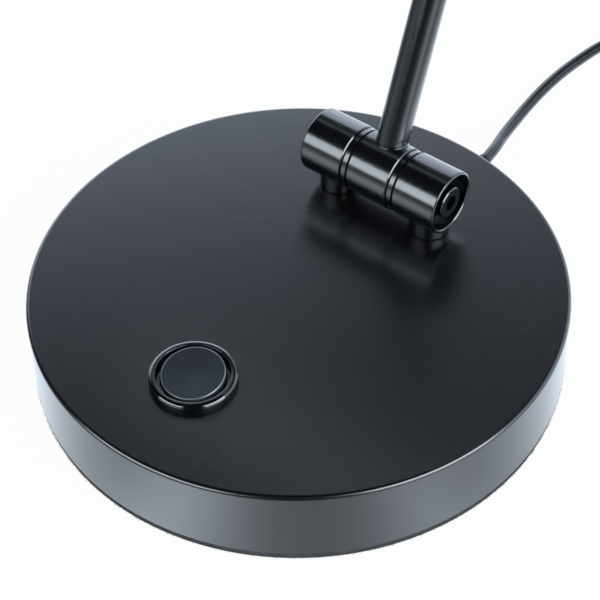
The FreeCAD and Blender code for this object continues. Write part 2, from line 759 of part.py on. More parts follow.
def barrel_centre(label, locate):
    """The turning barrel, with a socket for the tube and a running bore for the pivot.

    Its profile lies flat, so that the seam of the turned faces stays clear of the socket's mouth.
    """
    body = new_body(label)
    profile = sketch_on(body, "XY_Plane")
    rectangle(profile, "-Sheet.centre_half_length", "Sheet.centre_half_length",
              PIVOT_RUN, "Sheet.barrel_radius")
    revolve(body, profile, "H_Axis")
    for side in ("-", ""):
        dress(body, "Chamfer", "Sheet.edge_chamfer",
              ring("X", side + "Sheet.centre_half_length", "Sheet.barrel_radius"))
    socket = sketch_on(body, "XY_Plane")
    circle(socket, "0", "0", SOCKET_RADIUS)
    pocket(body, socket, reverse=True)
    mouth_radius = total(SOCKET_RADIUS)
    above_bore = size("pivot_radius") + 1

    def at_mouth(edge, middle):
        return abs(math.hypot(middle.x, middle.y) - mouth_radius) < 1e-3 and middle.z > above_bore

    dress(body, "Chamfer", "Sheet.edge_chamfer", at_mouth)
    locate(body)


def pivot_tube(label, locate, window_plane, window_reverse):
    """The hollow pivot that both outer barrels hold, open at one side where the lead turns out."""
    body = new_body(label)
    profile = sketch_on(body, "XZ_Plane")
    thread = "Sheet.hinge_screw_radius + Sheet.seat_clearance"
    outline(profile, [("-" + PIVOT_LEFT, "Sheet.pivot_bore"), ("-" + PIVOT_LEFT, "Sheet.pivot_radius"),
                      (PIVOT_RIGHT, "Sheet.pivot_radius"), (PIVOT_RIGHT, thread),
                      (THREAD_START, thread), (THREAD_START, "0"),
                      (PIVOT_BORE_END, "0"), (PIVOT_BORE_END, "Sheet.pivot_bore")])
    revolve(body, profile, "H_Axis")
    window = sketch_on(body, window_plane)
    centred(window, "0", "0", "2 * Sheet.lead_window", "3 * Sheet.pivot_radius")
    pocket(body, window, reverse=window_reverse)
    lead_hole = sketch_on(body, "XY_Plane")
    circle(lead_hole, "-Sheet.post_offset", "0", "Sheet.post_bore + Sheet.screw_clearance")
    pocket(body, lead_hole)
    locate(body)


def hinge_screw(label, locate):
    """Socket-head cap screw that pulls the barrels together."""
    body = new_body(label)
    profile = sketch_on(body, "XZ_Plane")
    end = "%s + Sheet.hinge_screw_end_gap" % THREAD_START
    outline(profile, [(end, "0"), (end, "Sheet.hinge_screw_radius"),
                      (HEAD_SEAT_X, "Sheet.hinge_screw_radius"), (HEAD_SEAT_X, "Sheet.hinge_screw_head"),
                      (HEAD_END_X, "Sheet.hinge_screw_head"), (HEAD_END_X, "0")])
    revolve(body, profile, "H_Axis")
    dress(body, "Chamfer", "Sheet.edge_chamfer", ring("X", HEAD_END_X, "Sheet.hinge_screw_head"))
    socket = sketch_on(body, "YZ_Plane", HEAD_END_X)
    hexagon(socket, "0", "0", "Sheet.hex_socket_across")
    pocket(body, socket, "Sheet.hex_socket_depth")
    locate(body)


def spring_washers(label, locate):
    """Two disc springs, rim to rim, under the screw's head."""
    body = new_body(label)
    hole = "Sheet.hinge_screw_radius + Sheet.screw_clearance / 2"
    rim = "%s - Sheet.spring_rim_gap" % COUNTERBORE_RADIUS
    meeting = "%s + Sheet.spring_cone + Sheet.spring_thickness" % COUNTERBORE_X
    for hole_x, rim_x in ((COUNTERBORE_X, COUNTERBORE_X + " + Sheet.spring_cone"),
                          (meeting + " + Sheet.spring_cone", meeting)):
        profile = sketch_on(body, "XZ_Plane")
        outline(profile, [(hole_x, hole), (rim_x, rim), (rim_x + " + Sheet.spring_thickness", rim),
                          (hole_x + " + Sheet.spring_thickness", hole)])
        revolve(body, profile, "H_Axis")
    locate(body)


def hinge_rings(label, locate, starts, thickness, radius):
    """Flat rings round the pivot, the same on both sides of the turning barrel."""
    body = new_body(label)
    rings = []
    for start in starts:
        profile = sketch_on(body, "XZ_Plane")
        rectangle(profile, start, "%s + %s" % (start, thickness), PIVOT_RUN, radius)
        rings.append(revolve(body, profile, "H_Axis"))
    mirror(body, rings)
    locate(body)


def hinge_posts(label, locate, seat_radius=None):
    """Two posts under the outer barrels: saddled on top, flat or saddled below, with studs."""
    body = new_body(label)
    foot = "-Sheet.hinge_rise" if seat_radius is None else "-(Sheet.hinge_rise + Sheet.post_seat_allowance)"
    stud_top = "-(Sheet.hinge_rise - Sheet.post_chamfer)"

    def pair(offset, radius):
        sketch = sketch_on(body, "XY_Plane", offset)
        for side in ("", "-"):
            circle(sketch, side + "Sheet.post_offset", "0", radius)
        return sketch

    pad(body, pair(foot, "Sheet.post_radius"), "-(%s)" % foot)
    saddle = sketch_on(body, "YZ_Plane")
    circle(saddle, "0", "0", "Sheet.barrel_radius")
    pocket(body, saddle, "4 * %s" % HALF_LENGTH, midplane=True)
    if seat_radius is None:
        foot_z = total(foot)
        dress(body, "Chamfer", "Sheet.post_chamfer", lambda edge, middle: abs(middle.z - foot_z) < 1e-4)
    else:
        seat = sketch_on(body, "YZ_Plane")
        circle(seat, "0", "-(Sheet.hinge_rise + %s)" % seat_radius, seat_radius)
        pocket(body, seat, "4 * %s" % HALF_LENGTH, midplane=True)
    pad(body, pair(stud_top, "Sheet.stud_radius"), "Sheet.stud_length + Sheet.post_chamfer", reverse=True)
    pocket(body, pair("0", "Sheet.post_bore"))
    locate(body)


def stud_nuts(label, locate, start):
    """Flanged nuts on the studs of the two posts."""
    body = new_body(label)
    flange = sketch_on(body, "XY_Plane", start)
    circle(flange, "Sheet.post_offset", "0", "Sheet.nut_flange_radius")
    circle(flange, "Sheet.post_offset", "0", STUD_SEAT)
    collar = pad(body, flange, "Sheet.nut_flange", reverse=True)
    prism = sketch_on(body, "XY_Plane", start)
    hexagon(prism, "Sheet.post_offset", "0", "Sheet.nut_across")
    circle(prism, "Sheet.post_offset", "0", STUD_SEAT)
    nut = pad(body, prism, "Sheet.nut_thickness + Sheet.nut_flange", reverse=True)
    mirror(body, [collar, nut])
    locate(body)


def friction_hinge(prefix, locate, window_plane, window_reverse):
    """The pieces of one friction hinge apart from its turning barrel, posts and nuts."""
    barrel_left(prefix + "barrel_left", locate)
    barrel_right(prefix + "barrel_right", locate)
    pivot_tube(prefix + "pivot_tube", locate, window_plane, window_reverse)
    hinge_screw(prefix + "hinge_screw", locate)
    spring_washers(prefix + "spring_washers", locate)
    first = "Sheet.centre_half_length"
    middle = "(%s + Sheet.washer_thickness)" % first
    last = "(%s + Sheet.disc_thickness)" % middle
    hinge_rings(prefix + "friction_washers", locate, [first, last], "Sheet.washer_thickness",
                "Sheet.barrel_radius - Sheet.washer_inset")
    hinge_rings(prefix + "hinge_discs", locate, [middle], "Sheet.disc_thickness",
                "Sheet.barrel_radius - Sheet.disc_inset")


# ---------------------------------------------------------------- arm

def arm_tube():
    """Round tube between the two turning barrels."""
    body = new_body("arm_tube")
    section = sketch_on(body, "XY_Plane", TUBE_START)
    circle(section, "0", "0", "Sheet.tube_radius")
    circle(section, "0", "0", "Sheet.tube_radius - Sheet.tube_wall")
    pad(body, section, "Sheet.arm_length - 2 * %s" % TUBE_START)
    on_arm(body)


def arm_lead():
    """The lamp's lead inside the tube, lying against its wall."""
    body = new_body("arm_lead")
    section = sketch_on(body, "XY_Plane", TUBE_START)
    offset = "Sheet.tube_radius - Sheet.tube_wall - Sheet.lead_radius - Sheet.lead_clearance"
    circle(section, "0", offset, "Sheet.lead_radius")
    pad(body, section, "Sheet.arm_length - 2 * %s" % TUBE_START)
    on_arm(body)


# ---------------------------------------------------------------- head

def shade():
    """Trough extrusion with slots for the light strip and diffuser and channels for cap screws."""
    body = new_body("shade")
    solid = sketch_on(body, "YZ_Plane")
    arch(solid, "Sheet.shade_radius", "Sheet.shade_leg")
    pad(body, solid, EXTRUSION_LENGTH, midplane=True)
    hollow = sketch_on(body, "YZ_Plane")
    arch(hollow, SHADE_INSIDE, "2 * Sheet.shade_leg")
    pocket(body, hollow, "2 * Sheet.shade_length", midplane=True)
    ribs = sketch_on(body, "YZ_Plane")
    levels = ["(-Sheet.shade_leg)", "(%s + Sheet.slot_clearance)" % DIFFUSER_HIGH,
              "(%s - Sheet.slot_clearance - Sheet.rib_thickness)" % CARRIER_LOW,
              "Sheet.slot_clearance"]
    for level in levels:
        for side in ("", "-"):
            rectangle(ribs, "%s(%s - Sheet.rib_width)" % (side, SHADE_INSIDE),
                      "%s(Sheet.shade_radius - Sheet.shade_wall / 2)" % side,
                      level, "%s + Sheet.rib_thickness" % level)
    pad(body, ribs, EXTRUSION_LENGTH, midplane=True)
    channels = sketch_on(body, "YZ_Plane")
    for side in ("", "-"):
        circle(channels, side + CHANNEL_Y, CHANNEL_Z, "Sheet.channel_radius")
        circle(channels, side + CHANNEL_Y, CHANNEL_Z, "Sheet.channel_bore")
    pad(body, channels, EXTRUSION_LENGTH, midplane=True)
    studs = sketch_on(body, "XY_Plane", tilt=-size("shade_saddle_angle"))
    for side in ("", "-"):
        circle(studs, side + "Sheet.post_offset", "0", "Sheet.stud_radius + Sheet.screw_clearance")
    pocket(body, studs, reverse=True)
    in_shade(body)


def shade_cap(label, side):
    """An end cap, screwed into the two channels of the shade."""
    body = new_body(label)
    section = sketch_on(body, "YZ_Plane", "%s%s / 2" % (side, EXTRUSION_LENGTH))
    arch(section, "Sheet.shade_radius", "Sheet.shade_leg")
    pad(body, section, "Sheet.cap_thickness", reverse=side == "-")
    outer_x = total("%sSheet.shade_length / 2" % side)
    dress(body, "Fillet", "Sheet.cap_round", lambda edge, middle: abs(middle.x - outer_x) < 1e-4)
    holes = sketch_on(body, "YZ_Plane")
    for across in ("", "-"):
        circle(holes, across + CHANNEL_Y, CHANNEL_Z, "Sheet.channel_bore + Sheet.screw_clearance / 2")
    pocket(body, holes, "2 * Sheet.shade_length", midplane=True)
    in_shade(body)


def cap_screws():
    """Four pan-head screws, two through each end cap."""
    body = new_body("cap_screws")
    outer = "Sheet.shade_length / 2"
    features = []
    for radius, start, length in (
            ("Sheet.cap_screw_head", outer, "Sheet.cap_screw_head_height"),
            ("Sheet.channel_bore - Sheet.seat_clearance", outer + " - Sheet.cap_screw_length",
             "Sheet.cap_screw_length")):
        section = sketch_on(body, "YZ_Plane", start)
        for side in ("", "-"):
            circle(section, side + CHANNEL_Y, CHANNEL_Z, radius)
        features.append(pad(body, section, length))
    mirror(body, features)
    in_shade(body)


def shade_strip(label, half_width, low, high, end_gap):
    """A flat strip along the inside of the shade."""
    body = new_body(label)
    section = sketch_on(body, "YZ_Plane")
    rectangle(section, "-(%s)" % half_width, half_width, low, high)
    pad(body, section, "%s - 2 * %s" % (EXTRUSION_LENGTH, end_gap), midplane=True)
    in_shade(body)
    return body


def led_carrier():
    """Aluminium strip that carries the board, with a hole for the lead."""
    body = shade_strip("led_carrier", SLIDE_HALF, CARRIER_LOW, "0", "Sheet.strip_end_gap")
    hole = sketch_on(body, "XY_Plane")
    circle(hole, "-Sheet.carrier_hole_x", "Sheet.carrier_hole_y",
           "Sheet.lead_radius + Sheet.slide_clearance")
    pocket(body, hole, "4 * Sheet.carrier_thickness", midplane=True)


def led_board():
    """The board that the light-emitting chips are soldered to."""
    shade_strip("led_board", "Sheet.board_width / 2", BOARD_LOW, CARRIER_LOW, "Sheet.board_end_gap")


def led_chips():
    """A row of light-emitting chips under the board."""
    body = new_body("led_chips")
    section = sketch_on(body, "XY_Plane", BOARD_LOW)
    first = "-(%s - %s) / 2" % (BOARD_LENGTH, LED_PITCH)
    centred(section, first, "0", "Sheet.led_length", "Sheet.led_width")
    chip = pad(body, section, "Sheet.led_height", reverse=True)
    row = body.newObject("PartDesign::LinearPattern", "led_row")
    row.Originals = [chip]
    row.Direction = (section, ["H_Axis"])
    row.Occurrences = int(size("led_count"))
    row.setExpression("Length", "%s - %s" % (BOARD_LENGTH, LED_PITCH))
    body.Tip = row
    doc.recompute()
    in_shade(body)


def diffuser():
    """Opal strip that closes the mouth of the shade."""
    shade_strip("diffuser", SLIDE_HALF, DIFFUSER_LOW, DIFFUSER_HIGH, "Sheet.strip_end_gap")


def saddle_washers():
    """Thick washers between the shade's curved inside and the flat nuts."""
    body = new_body("saddle_washers")
    column = sketch_on(body, "XY_Plane", "-Sheet.hinge_rise")
    circle(column, "Sheet.post_offset", "0", "Sheet.nut_flange_radius")
    circle(column, "Sheet.post_offset", "0", STUD_SEAT)
    washer = pad(body, column, "Sheet.shade_wall + Sheet.saddle_washer", reverse=True)
    mirror(body, [washer])
    wall = sketch_on(body, "YZ_Plane")
    axis_z = "-(Sheet.hinge_rise + Sheet.shade_radius)"
    circle(wall, "0", axis_z, SHADE_INSIDE)
    circle(wall, "0", axis_z, "2 * Sheet.shade_radius")
    pocket(body, wall, "4 * %s" % HALF_LENGTH, midplane=True)
    at_head_hinge(body)


# ---------------------------------------------------------------- push button

def button_bezel():
    """Rounded ring, recessed round the cap, on a threaded sleeve through the top of the base."""
    body = new_body("button_bezel")
    profile = sketch_on(body, "XZ_Plane")
    low = "-Sheet.sleeve_length"
    recess = "Sheet.bezel_height - Sheet.bezel_recess"
    outline(profile, [("Sheet.bezel_bore", low), ("Sheet.sleeve_radius", low),
                      ("Sheet.sleeve_radius", "0"), ("Sheet.bezel_radius", "0"),
                      ("Sheet.bezel_radius", "Sheet.bezel_height"),
                      ("Sheet.bezel_opening", "Sheet.bezel_height"),
                      ("Sheet.bezel_opening", recess), ("Sheet.bezel_bore", recess)])
    revolve(body, profile)
    dress(body, "Fillet", "Sheet.bezel_round", ring("Z", "Sheet.bezel_height", "Sheet.bezel_radius"))
    dress(body, "Fillet", "Sheet.bezel_lip", ring("Z", "Sheet.bezel_height", "Sheet.bezel_opening"))
    at_button(body)


def button_cap():
    """The pressed cap: a dished face that slopes to the front, a skirt, and a stem into the switch."""
    body = new_body("button_cap")
    profile = sketch_on(body, "XZ_Plane")
    skirt = "%s - Sheet.cap_skirt" % CAP_RADIUS
    outline(profile, [("0", CAP_BLANK), (CAP_RADIUS, CAP_BLANK),
                      (CAP_RADIUS, "-Sheet.cap_skirt_depth"), (skirt, "-Sheet.cap_skirt_depth"),
                      (skirt, CAP_INSIDE), ("Sheet.stem_radius", CAP_INSIDE),
                      ("Sheet.stem_radius", "-Sheet.stem_depth"), ("0", "-Sheet.stem_depth")])
    revolve(body, profile)
    face = sketch_on(body, "XY_Plane", "Sheet.cap_middle", size("cap_slope"))
    circle(face, "0", "0", "2 * " + CAP_RADIUS)
    pocket(body, face, reverse=True)
    lowest = size("cap_middle") - total(CAP_RADIUS + " * tan(Sheet.cap_slope)")

    def on_face(edge, middle):
        return middle.z > lowest - 1e-3

    dress(body, "Fillet", "Sheet.cap_edge_round", on_face)
    dish = sketch_on(body, "XZ_Plane", tilt=size("cap_slope"))
    dish.setExpression("AttachmentOffset.Base.y", "Sheet.cap_middle")
    outline(dish, [("0", "0"), ("0", "-Sheet.cap_dish"),
                   ("%s - Sheet.cap_edge_round - Sheet.cap_rim" % CAP_RADIUS, "0")])
    groove(body, dish, "V_Axis")
    at_button(body)


def switch_body():
    """The dimmer switch under the sleeve, with a guide bore for the stem."""
    body = new_body("switch_body")
    profile = sketch_on(body, "XZ_Plane")
    guide = "Sheet.stem_radius + Sheet.slide_clearance"
    floor = "-%s + Sheet.switch_floor" % SWITCH_LOW
    outline(profile, [(guide, "-Sheet.sleeve_length"), ("Sheet.sleeve_radius", "-Sheet.sleeve_length"),
                      ("Sheet.sleeve_radius", "-" + SWITCH_LOW), ("0", "-" + SWITCH_LOW),
                      ("0", floor), (guide, floor)])
    revolve(body, profile)
    dress(body, "Chamfer", "Sheet.edge_chamfer", ring("Z", "-" + SWITCH_LOW, "Sheet.sleeve_radius"))
    at_button(body)


def switch_terminals():
    """Three flat tags under the switch."""
    body = new_body("switch_terminals")
    tags = sketch_on(body, "XY_Plane", "-" + SWITCH_LOW)
    for step in (-1, 0, 1):
        centred(tags, "%d * Sheet.terminal_pitch" % step, "0",
                "Sheet.terminal_width", "Sheet.terminal_thickness")
    pad(body, tags, TERMINAL_LENGTH, reverse=True)
    at_button(body)


def button_nut():
    """The nut that clamps the sleeve under the top of the base."""
    body = new_body("button_nut")
    section = sketch_on(body, "XY_Plane", "-Sheet.cover_top")
    hexagon(section, "0", "0", "Sheet.button_nut_across")
    circle(section, "0", "0", "Sheet.sleeve_radius + Sheet.seat_clearance")
    pad(body, section, "Sheet.button_nut_thickness", reverse=True)
    at_button(body)


def button_spring():
    """Return spring between the switch and the inside of the cap, wound from short bends."""
    wire = size("return_spring_wire")
    radius = size("return_spring_radius")
    low = wire - size("sleeve_length")
    height = total(CAP_INSIDE) - wire - low
    bends = int(size("return_spring_turns") * size("return_spring_bends"))
    turn = 2 * math.pi / size("return_spring_bends")
    points = [(radius * math.cos(k * turn), radius * math.sin(k * turn) - size("button_setback"),
               total(TOP) + low + height * k / bends) for k in range(bends + 1)]
    tube_along("button_spring", bent_wire(points), wire)


# ---------------------------------------------------------------- driver board

def board_corners():
    """The centres of the driver board's four screws."""
    half_x = "(Sheet.pcb_length / 2 - Sheet.spacer_inset)"
    half_y = "(Sheet.pcb_depth / 2 - Sheet.spacer_inset)"
    return [(across + half_x, along + half_y) for across in ("", "-") for along in ("", "-")]


def driver_board():
    """Circuit board on four spacers."""
    body = new_body("driver_board")
    panel = sketch_on(body, "XY_Plane")
    centred(panel, "0", "0", "Sheet.pcb_length", "Sheet.pcb_depth")
    for x, y in board_corners():
        circle(panel, x, y, "Sheet.small_screw_radius + Sheet.screw_clearance")
    pad(body, panel, "Sheet.pcb_thickness", reverse=True)
    on_board(body)


def board_spacers():
    """Four round spacers between the ballast and the board."""
    body = new_body("board_spacers")
    section = sketch_on(body, "XY_Plane", "-Sheet.pcb_thickness")
    for x, y in board_corners():
        circle(section, x, y, "Sheet.spacer_radius")
        circle(section, x, y, "Sheet.small_screw_radius + Sheet.seat_clearance")
    pad(body, section, "Sheet.spacer_height", reverse=True)
    on_board(body)


def small_screws():
    """Six alike pan-head screws: four hold the driver board and two the cord clamp."""
    body = new_body("small_screws")
    board = [(x, "%s - Sheet.pcb_setback" % y) for x, y in board_corners()]
    clamp = [("Sheet.cord_exit_x %s Sheet.clamp_screw_spacing / 2" % side, CLAMP_Y) for side in "+-"]
    for level, centres in ((PCB_TOP, board), (CLAMP_TOP, clamp)):
        for radius, length, down in (
                ("Sheet.small_screw_head", "Sheet.small_screw_head_height", False),
                ("Sheet.small_screw_radius", "Sheet.small_screw_length", True)):
            section = sketch_on(body, "XY_Plane", level)
            for x, y in centres:
                circle(section, x, y, radius)
            pad(body, section, length, reverse=down)


def terminal_block():
    """Screw terminals for the mains cord at the back of the board."""
    body = new_body("terminal_block")
    block = sketch_on(body, "XY_Plane")
    middle_y = "(%s - Sheet.block_depth / 2)" % BLOCK_BACK
    centred(block, "Sheet.block_offset", middle_y, "Sheet.block_length", "Sheet.block_depth")
    pad(body, block, COMPONENT_HEIGHT)
    entries = sketch_on(body, "XY_Plane", COMPONENT_HEIGHT)
    for step in (-1, 0, 1):
        circle(entries, "Sheet.block_offset + %d * Sheet.block_entry_pitch" % step, middle_y,
               "Sheet.block_entry_radius")
    pocket(body, entries, "Sheet.block_entry_depth")
    on_board(body)


def driver_transformer():
    """Transformer: a core with a wider winding across it."""
    body = new_body("driver_transformer")
    x = "Sheet.transformer_offset"
    y = "-Sheet.transformer_setback"
    core = sketch_on(body, "XY_Plane")
    centred(core, x, y, "Sheet.transformer_length", "Sheet.transformer_core_depth")
    pad(body, core, COMPONENT_HEIGHT)
    winding = sketch_on(body, "XY_Plane")
    centred(winding, x, y, "Sheet.transformer_winding_length", "Sheet.transformer_depth")
    pad(body, winding, "%s - Sheet.transformer_winding_drop" % COMPONENT_HEIGHT)
    on_board(body)


def driver_capacitors():
    """Three round capacitors."""
    body = new_body("driver_capacitors")
    cans = sketch_on(body, "XY_Plane")
    for step in (-1, 0, 1):
        circle(cans, "-Sheet.capacitor_offset", "%d * Sheet.capacitor_pitch" % step,
               "Sheet.capacitor_radius")
    pad(body, cans, COMPONENT_HEIGHT)
    on_board(body)


# ---------------------------------------------------------------- leads and cord

def solid_feature(label, shape):
    """A Part feature for a shape that sketches don't fit."""
    feature = doc.addObject("Part::Feature", label)
    feature.Label = label
    feature.Shape = shape
    nodes.append(feature)
    return feature


def corner_reach(before, corner, after):
    """A free cord's bend takes 0.45 of the shorter run beside its corner."""
    return 0.45 * min(before.distanceToPoint(corner), after.distanceToPoint(corner))


def bent_wire(points, bend=None, radii=None):
    """Straight runs joined by tangent arcs, of one bend radius or as wide as the runs allow."""
    points = [Vector(*point) for point in points]
    edges = []
    here = points[0]
    for before, corner, after in zip(points, points[1:], points[2:]):
        back = (before - corner).normalize()
        ahead = (after - corner).normalize()
        half_turn = (math.pi - back.getAngle(ahead)) / 2
        reach = corner_reach(before, corner, after) if bend is None else bend * math.tan(half_turn)
        radius = reach / math.tan(half_turn)
        first = corner + back * reach
        last = corner + ahead * reach
        inward = ((first + last) * 0.5 - corner).normalize()
        crown = corner + inward * (radius / math.cos(half_turn) - radius)
        edges.append(Part.LineSegment(here, first).toShape())
        edges.append(Part.Arc(first, crown, last).toShape())
        here = last
        if radii is not None:
            radii.append(radius)
    edges.append(Part.LineSegment(here, points[-1]).toShape())
    return Part.Wire(edges)


def tube_along(label, wire, radius):
    """A round solid along a wire, with its volume held against section times length."""
    first = wire.Edges[0]
    start = first.valueAt(first.FirstParameter)
    section = Part.Wire([Part.makeCircle(radius, start, first.tangentAt(first.FirstParameter))])
    solid = wire.makePipeShell([section], True, False)
    expected = math.pi * radius ** 2 * wire.Length
    if abs(solid.Volume / expected - 1) > 0.005:
        raise RuntimeError("%s: volume %.1f, not %.1f" % (label, solid.Volume, expected))
    solid_feature(label, solid)


def lamp_lead():
    """From the driver board up through the left post into the hollow pivot."""
    radius = size("lead_radius")
    x = -size("post_offset")
    y = size("hinge_setback")
    level = total(PCB_TOP) + radius + size("lead_clearance")
    board_edge = size("pcb_depth") / 2 - size("pcb_setback")
    axis_z = total(AXIS_Z)
    route = [(x, board_edge - size("block_depth"), level), (x, y, level), (x, y, axis_z),
             (-size("lead_radius"), y, axis_z)]
    tube_along("lamp_lead", bent_wire(route, size("lead_bend")), radius)


def switch_lead():
    """From the middle terminal up over the ballast's edge onto the driver board."""
    radius = size("lead_radius")
    low = total("%s - %s - %s / 2" % (TOP, SWITCH_LOW, TERMINAL_LENGTH))
    high = total(PCB_TOP) + radius + size("lead_clearance")
    start = size("terminal_thickness") / 2 - size("button_setback") + size("lead_clearance")
    opening_edge = size("sleeve_radius") + size("switch_opening_gap") - size("button_setback")
    board_edge = -size("pcb_depth") / 2 - size("pcb_setback")
    edge_gap = size("lead_edge_gap")
    route = [(0, start, low), (0, opening_edge - edge_gap, low), (0, board_edge - edge_gap, high),
             (0, board_edge + size("lead_landing"), high)]
    tube_along("switch_lead", bent_wire(route, size("lead_bend")), radius)


def mains_lead():
    """The cord's inner end, from the strain relief through the clamp to the terminal block."""
    x = size("cord_exit_x")
    clamp_front = total(CLAMP_Y) - size("clamp_depth") / 2
    block_back = total(BLOCK_BACK) - size("pcb_setback")
    entry = total(PCB_TOP) + total(COMPONENT_HEIGHT) / 2
    level = size("cord_height")
    block_x = size("block_offset")
    route = [(x, total(RELIEF_END), level), (x, clamp_front - size("mains_clamp_gap"), level),
             (x, total(NOTCH_START) + size("mains_notch_gap"), level + size("mains_rise")),
             (block_x, block_back + size("mains_run_in"), entry), (block_x, block_back, entry)]
    tube_along("mains_lead", bent_wire(route, size("mains_bend")), size("cord_radius"))


def head_lead():
    """From the hollow pivot of the head hinge through its left post to the carrier's hole."""
    axis_y, axis_z = (total(part) for part in shade_axis())
    frame = Placement(Vector(0, axis_y, axis_z), Rotation(Vector(1, 0, 0), -size("shade_tip")))
    saddle = math.radians(size("shade_saddle_angle"))

    def towards_hinge(x, distance):
        """A point at a distance from the shade's axis on the way to the head hinge."""
        return frame.multVec(Vector(x, distance * math.sin(saddle), distance * math.cos(saddle)))

    x = -size("post_offset")
    hinge = size("hinge_rise") + size("shade_radius")
    stud_end = size("shade_radius") - size("stud_length") - size("head_lead_drop")
    hole = (-size("carrier_hole_x"), size("carrier_hole_y"))
    route = [towards_hinge(-size("lead_radius"), hinge), towards_hinge(x, hinge),
             towards_hinge(x, stud_end), frame.multVec(Vector(*hole, size("head_lead_turn"))),
             frame.multVec(Vector(*hole, -size("carrier_thickness")))]
    tube_along("head_lead", bent_wire([tuple(point) for point in route], size("lead_bend")),
               size("lead_radius"))


def strain_relief():
    """Tapered and grooved outside the wall, necked in its hole and flanged behind it."""
    body = new_body("strain_relief")
    profile = sketch_on(body, "XZ_Plane")
    rings = int(size("relief_rings"))
    length = "(Sheet.relief_length - Sheet.relief_collar)"

    def taper(share, groove_depth="0"):
        """A point of the tapered side, a share of the way from root to tip."""
        narrowing = "(Sheet.relief_root_radius - Sheet.relief_tip_radius) * %.4f" % share
        return ("Sheet.relief_root_radius - %s - %s" % (narrowing, groove_depth),
                "Sheet.relief_collar + %s * %.4f" % (length, share))

    neck = "Sheet.cord_hole_radius - Sheet.seat_clearance"
    wall_back = "-(Sheet.cover_wall + Sheet.relief_wall_gap)"
    flange_back = "%s - Sheet.relief_flange" % wall_back
    points = [("0", flange_back), ("Sheet.relief_flange_radius", flange_back),
              ("Sheet.relief_flange_radius", wall_back), (neck, wall_back), (neck, "0"),
              ("Sheet.relief_collar_radius", "0"), ("Sheet.relief_collar_radius", "Sheet.relief_collar"),
              taper(0)]
    step = 1 / (rings + 1)
    for k in range(1, rings + 1):
        near = (k - 0.25) * step
        far = (k + 0.25) * step
        points += [taper(near), taper(near, "Sheet.relief_groove"), taper(far, "Sheet.relief_groove"),
                   taper(far)]
    points += [taper(1), ("0", "Sheet.relief_length")]
    outline(profile, points)
    revolve(body, profile)
    place(body, "Sheet.cord_exit_x", "Sheet.base_radius", "Sheet.cord_height", angle="-90")


def cord_clamp():
    """Block on the plate that grips the cord behind the strain relief."""
    body = new_body("cord_clamp")
    block = sketch_on(body, "XY_Plane", PLATE_TOP)
    centred(block, "Sheet.cord_exit_x", CLAMP_Y, "Sheet.clamp_width", "Sheet.clamp_depth")
    pad(body, block, "Sheet.clamp_height")
    top = total(CLAMP_TOP)
    ends = [size("cord_exit_x") + side * size("clamp_width") / 2 for side in (-1, 1)]

    def upper_end(edge, middle):
        return abs(middle.z - top) < 1e-4 and min(abs(middle.x - end) for end in ends) < 1e-4

    dress(body, "Fillet", "Sheet.clamp_round", upper_end)
    passage = sketch_on(body, "XZ_Plane")
    circle(passage, "Sheet.cord_exit_x", "Sheet.cord_height", "Sheet.cord_radius + Sheet.seat_clearance")
    pocket(body, passage)
    screws = sketch_on(body, "XY_Plane", CLAMP_TOP)
    for side in ("+", "-"):
        circle(screws, "Sheet.cord_exit_x %s Sheet.clamp_screw_spacing / 2" % side, CLAMP_Y,
               "Sheet.small_screw_radius + Sheet.seat_clearance")
    pocket(body, screws)


def outer_cord():
    """The free stretches of the cord, on the surface that the lamp stands on."""
    for label, route in (("cord_run", CORD_ROUTE), ("cord_tail", TAIL_ROUTE)):
        radii = []
        tube_along(label, bent_wire(route, radii=radii), size("cord_radius"))
        print(label, "bend radii:", ", ".join("%.0f" % radius for radius in radii))


def cord_coil():
    """The outer shape of the coiled part of the cord, notched under its tie."""
    body = new_body("cord_coil")
    profile = sketch_on(body, "XZ_Plane")
    rectangle(profile, COIL_INNER, COIL_OUTER, "0", "Sheet.coil_height")
    revolve(body, profile)
    dress(body, "Fillet", "Sheet.coil_round", lambda edge, middle: isinstance(edge.Curve, Part.Circle))
    strap = sketch_on(body, "XZ_Plane")
    inner = COIL_INNER + " - Sheet.tie_thickness"
    outer = COIL_OUTER + " + Sheet.tie_thickness"
    outline(strap, [(inner, "0"), (outer, "0"), (outer, "Sheet.tie_thickness"),
                    (COIL_INNER, "Sheet.tie_thickness"), (COIL_INNER, "Sheet.coil_height"),
                    (inner, "Sheet.coil_height")])
    pocket(body, strap, "Sheet.tie_width", midplane=True)
    at_coil(body)


def cord_tie():
    """A flat strap round one side of the coil."""
    body = new_body("cord_tie")
    loop = sketch_on(body, "XZ_Plane")
    rectangle(loop, COIL_INNER + " - Sheet.tie_thickness", COIL_OUTER + " + Sheet.tie_thickness",
              "0", "Sheet.coil_height + Sheet.tie_thickness")
    rectangle(loop, COIL_INNER, COIL_OUTER, "Sheet.tie_thickness", "Sheet.coil_height")
    pad(body, loop, "Sheet.tie_width", midplane=True)
    at_coil(body)


def at_coil(body):
    """The coil's frame, turned so that its X axis runs through the tie."""
    place(body, "Sheet.coil_centre_x", "Sheet.coil_centre_y", "0", Vector(0, 0, 1), "Sheet.tie_angle")


def at_plug(body):
    """The plug's frame: origin at the back of its grip, +Z towards the pins."""
    place(body, "Sheet.plug_x", "Sheet.plug_tail_y - Sheet.plug_relief_length",
          "Sheet.plug_thickness / 2", angle="90")


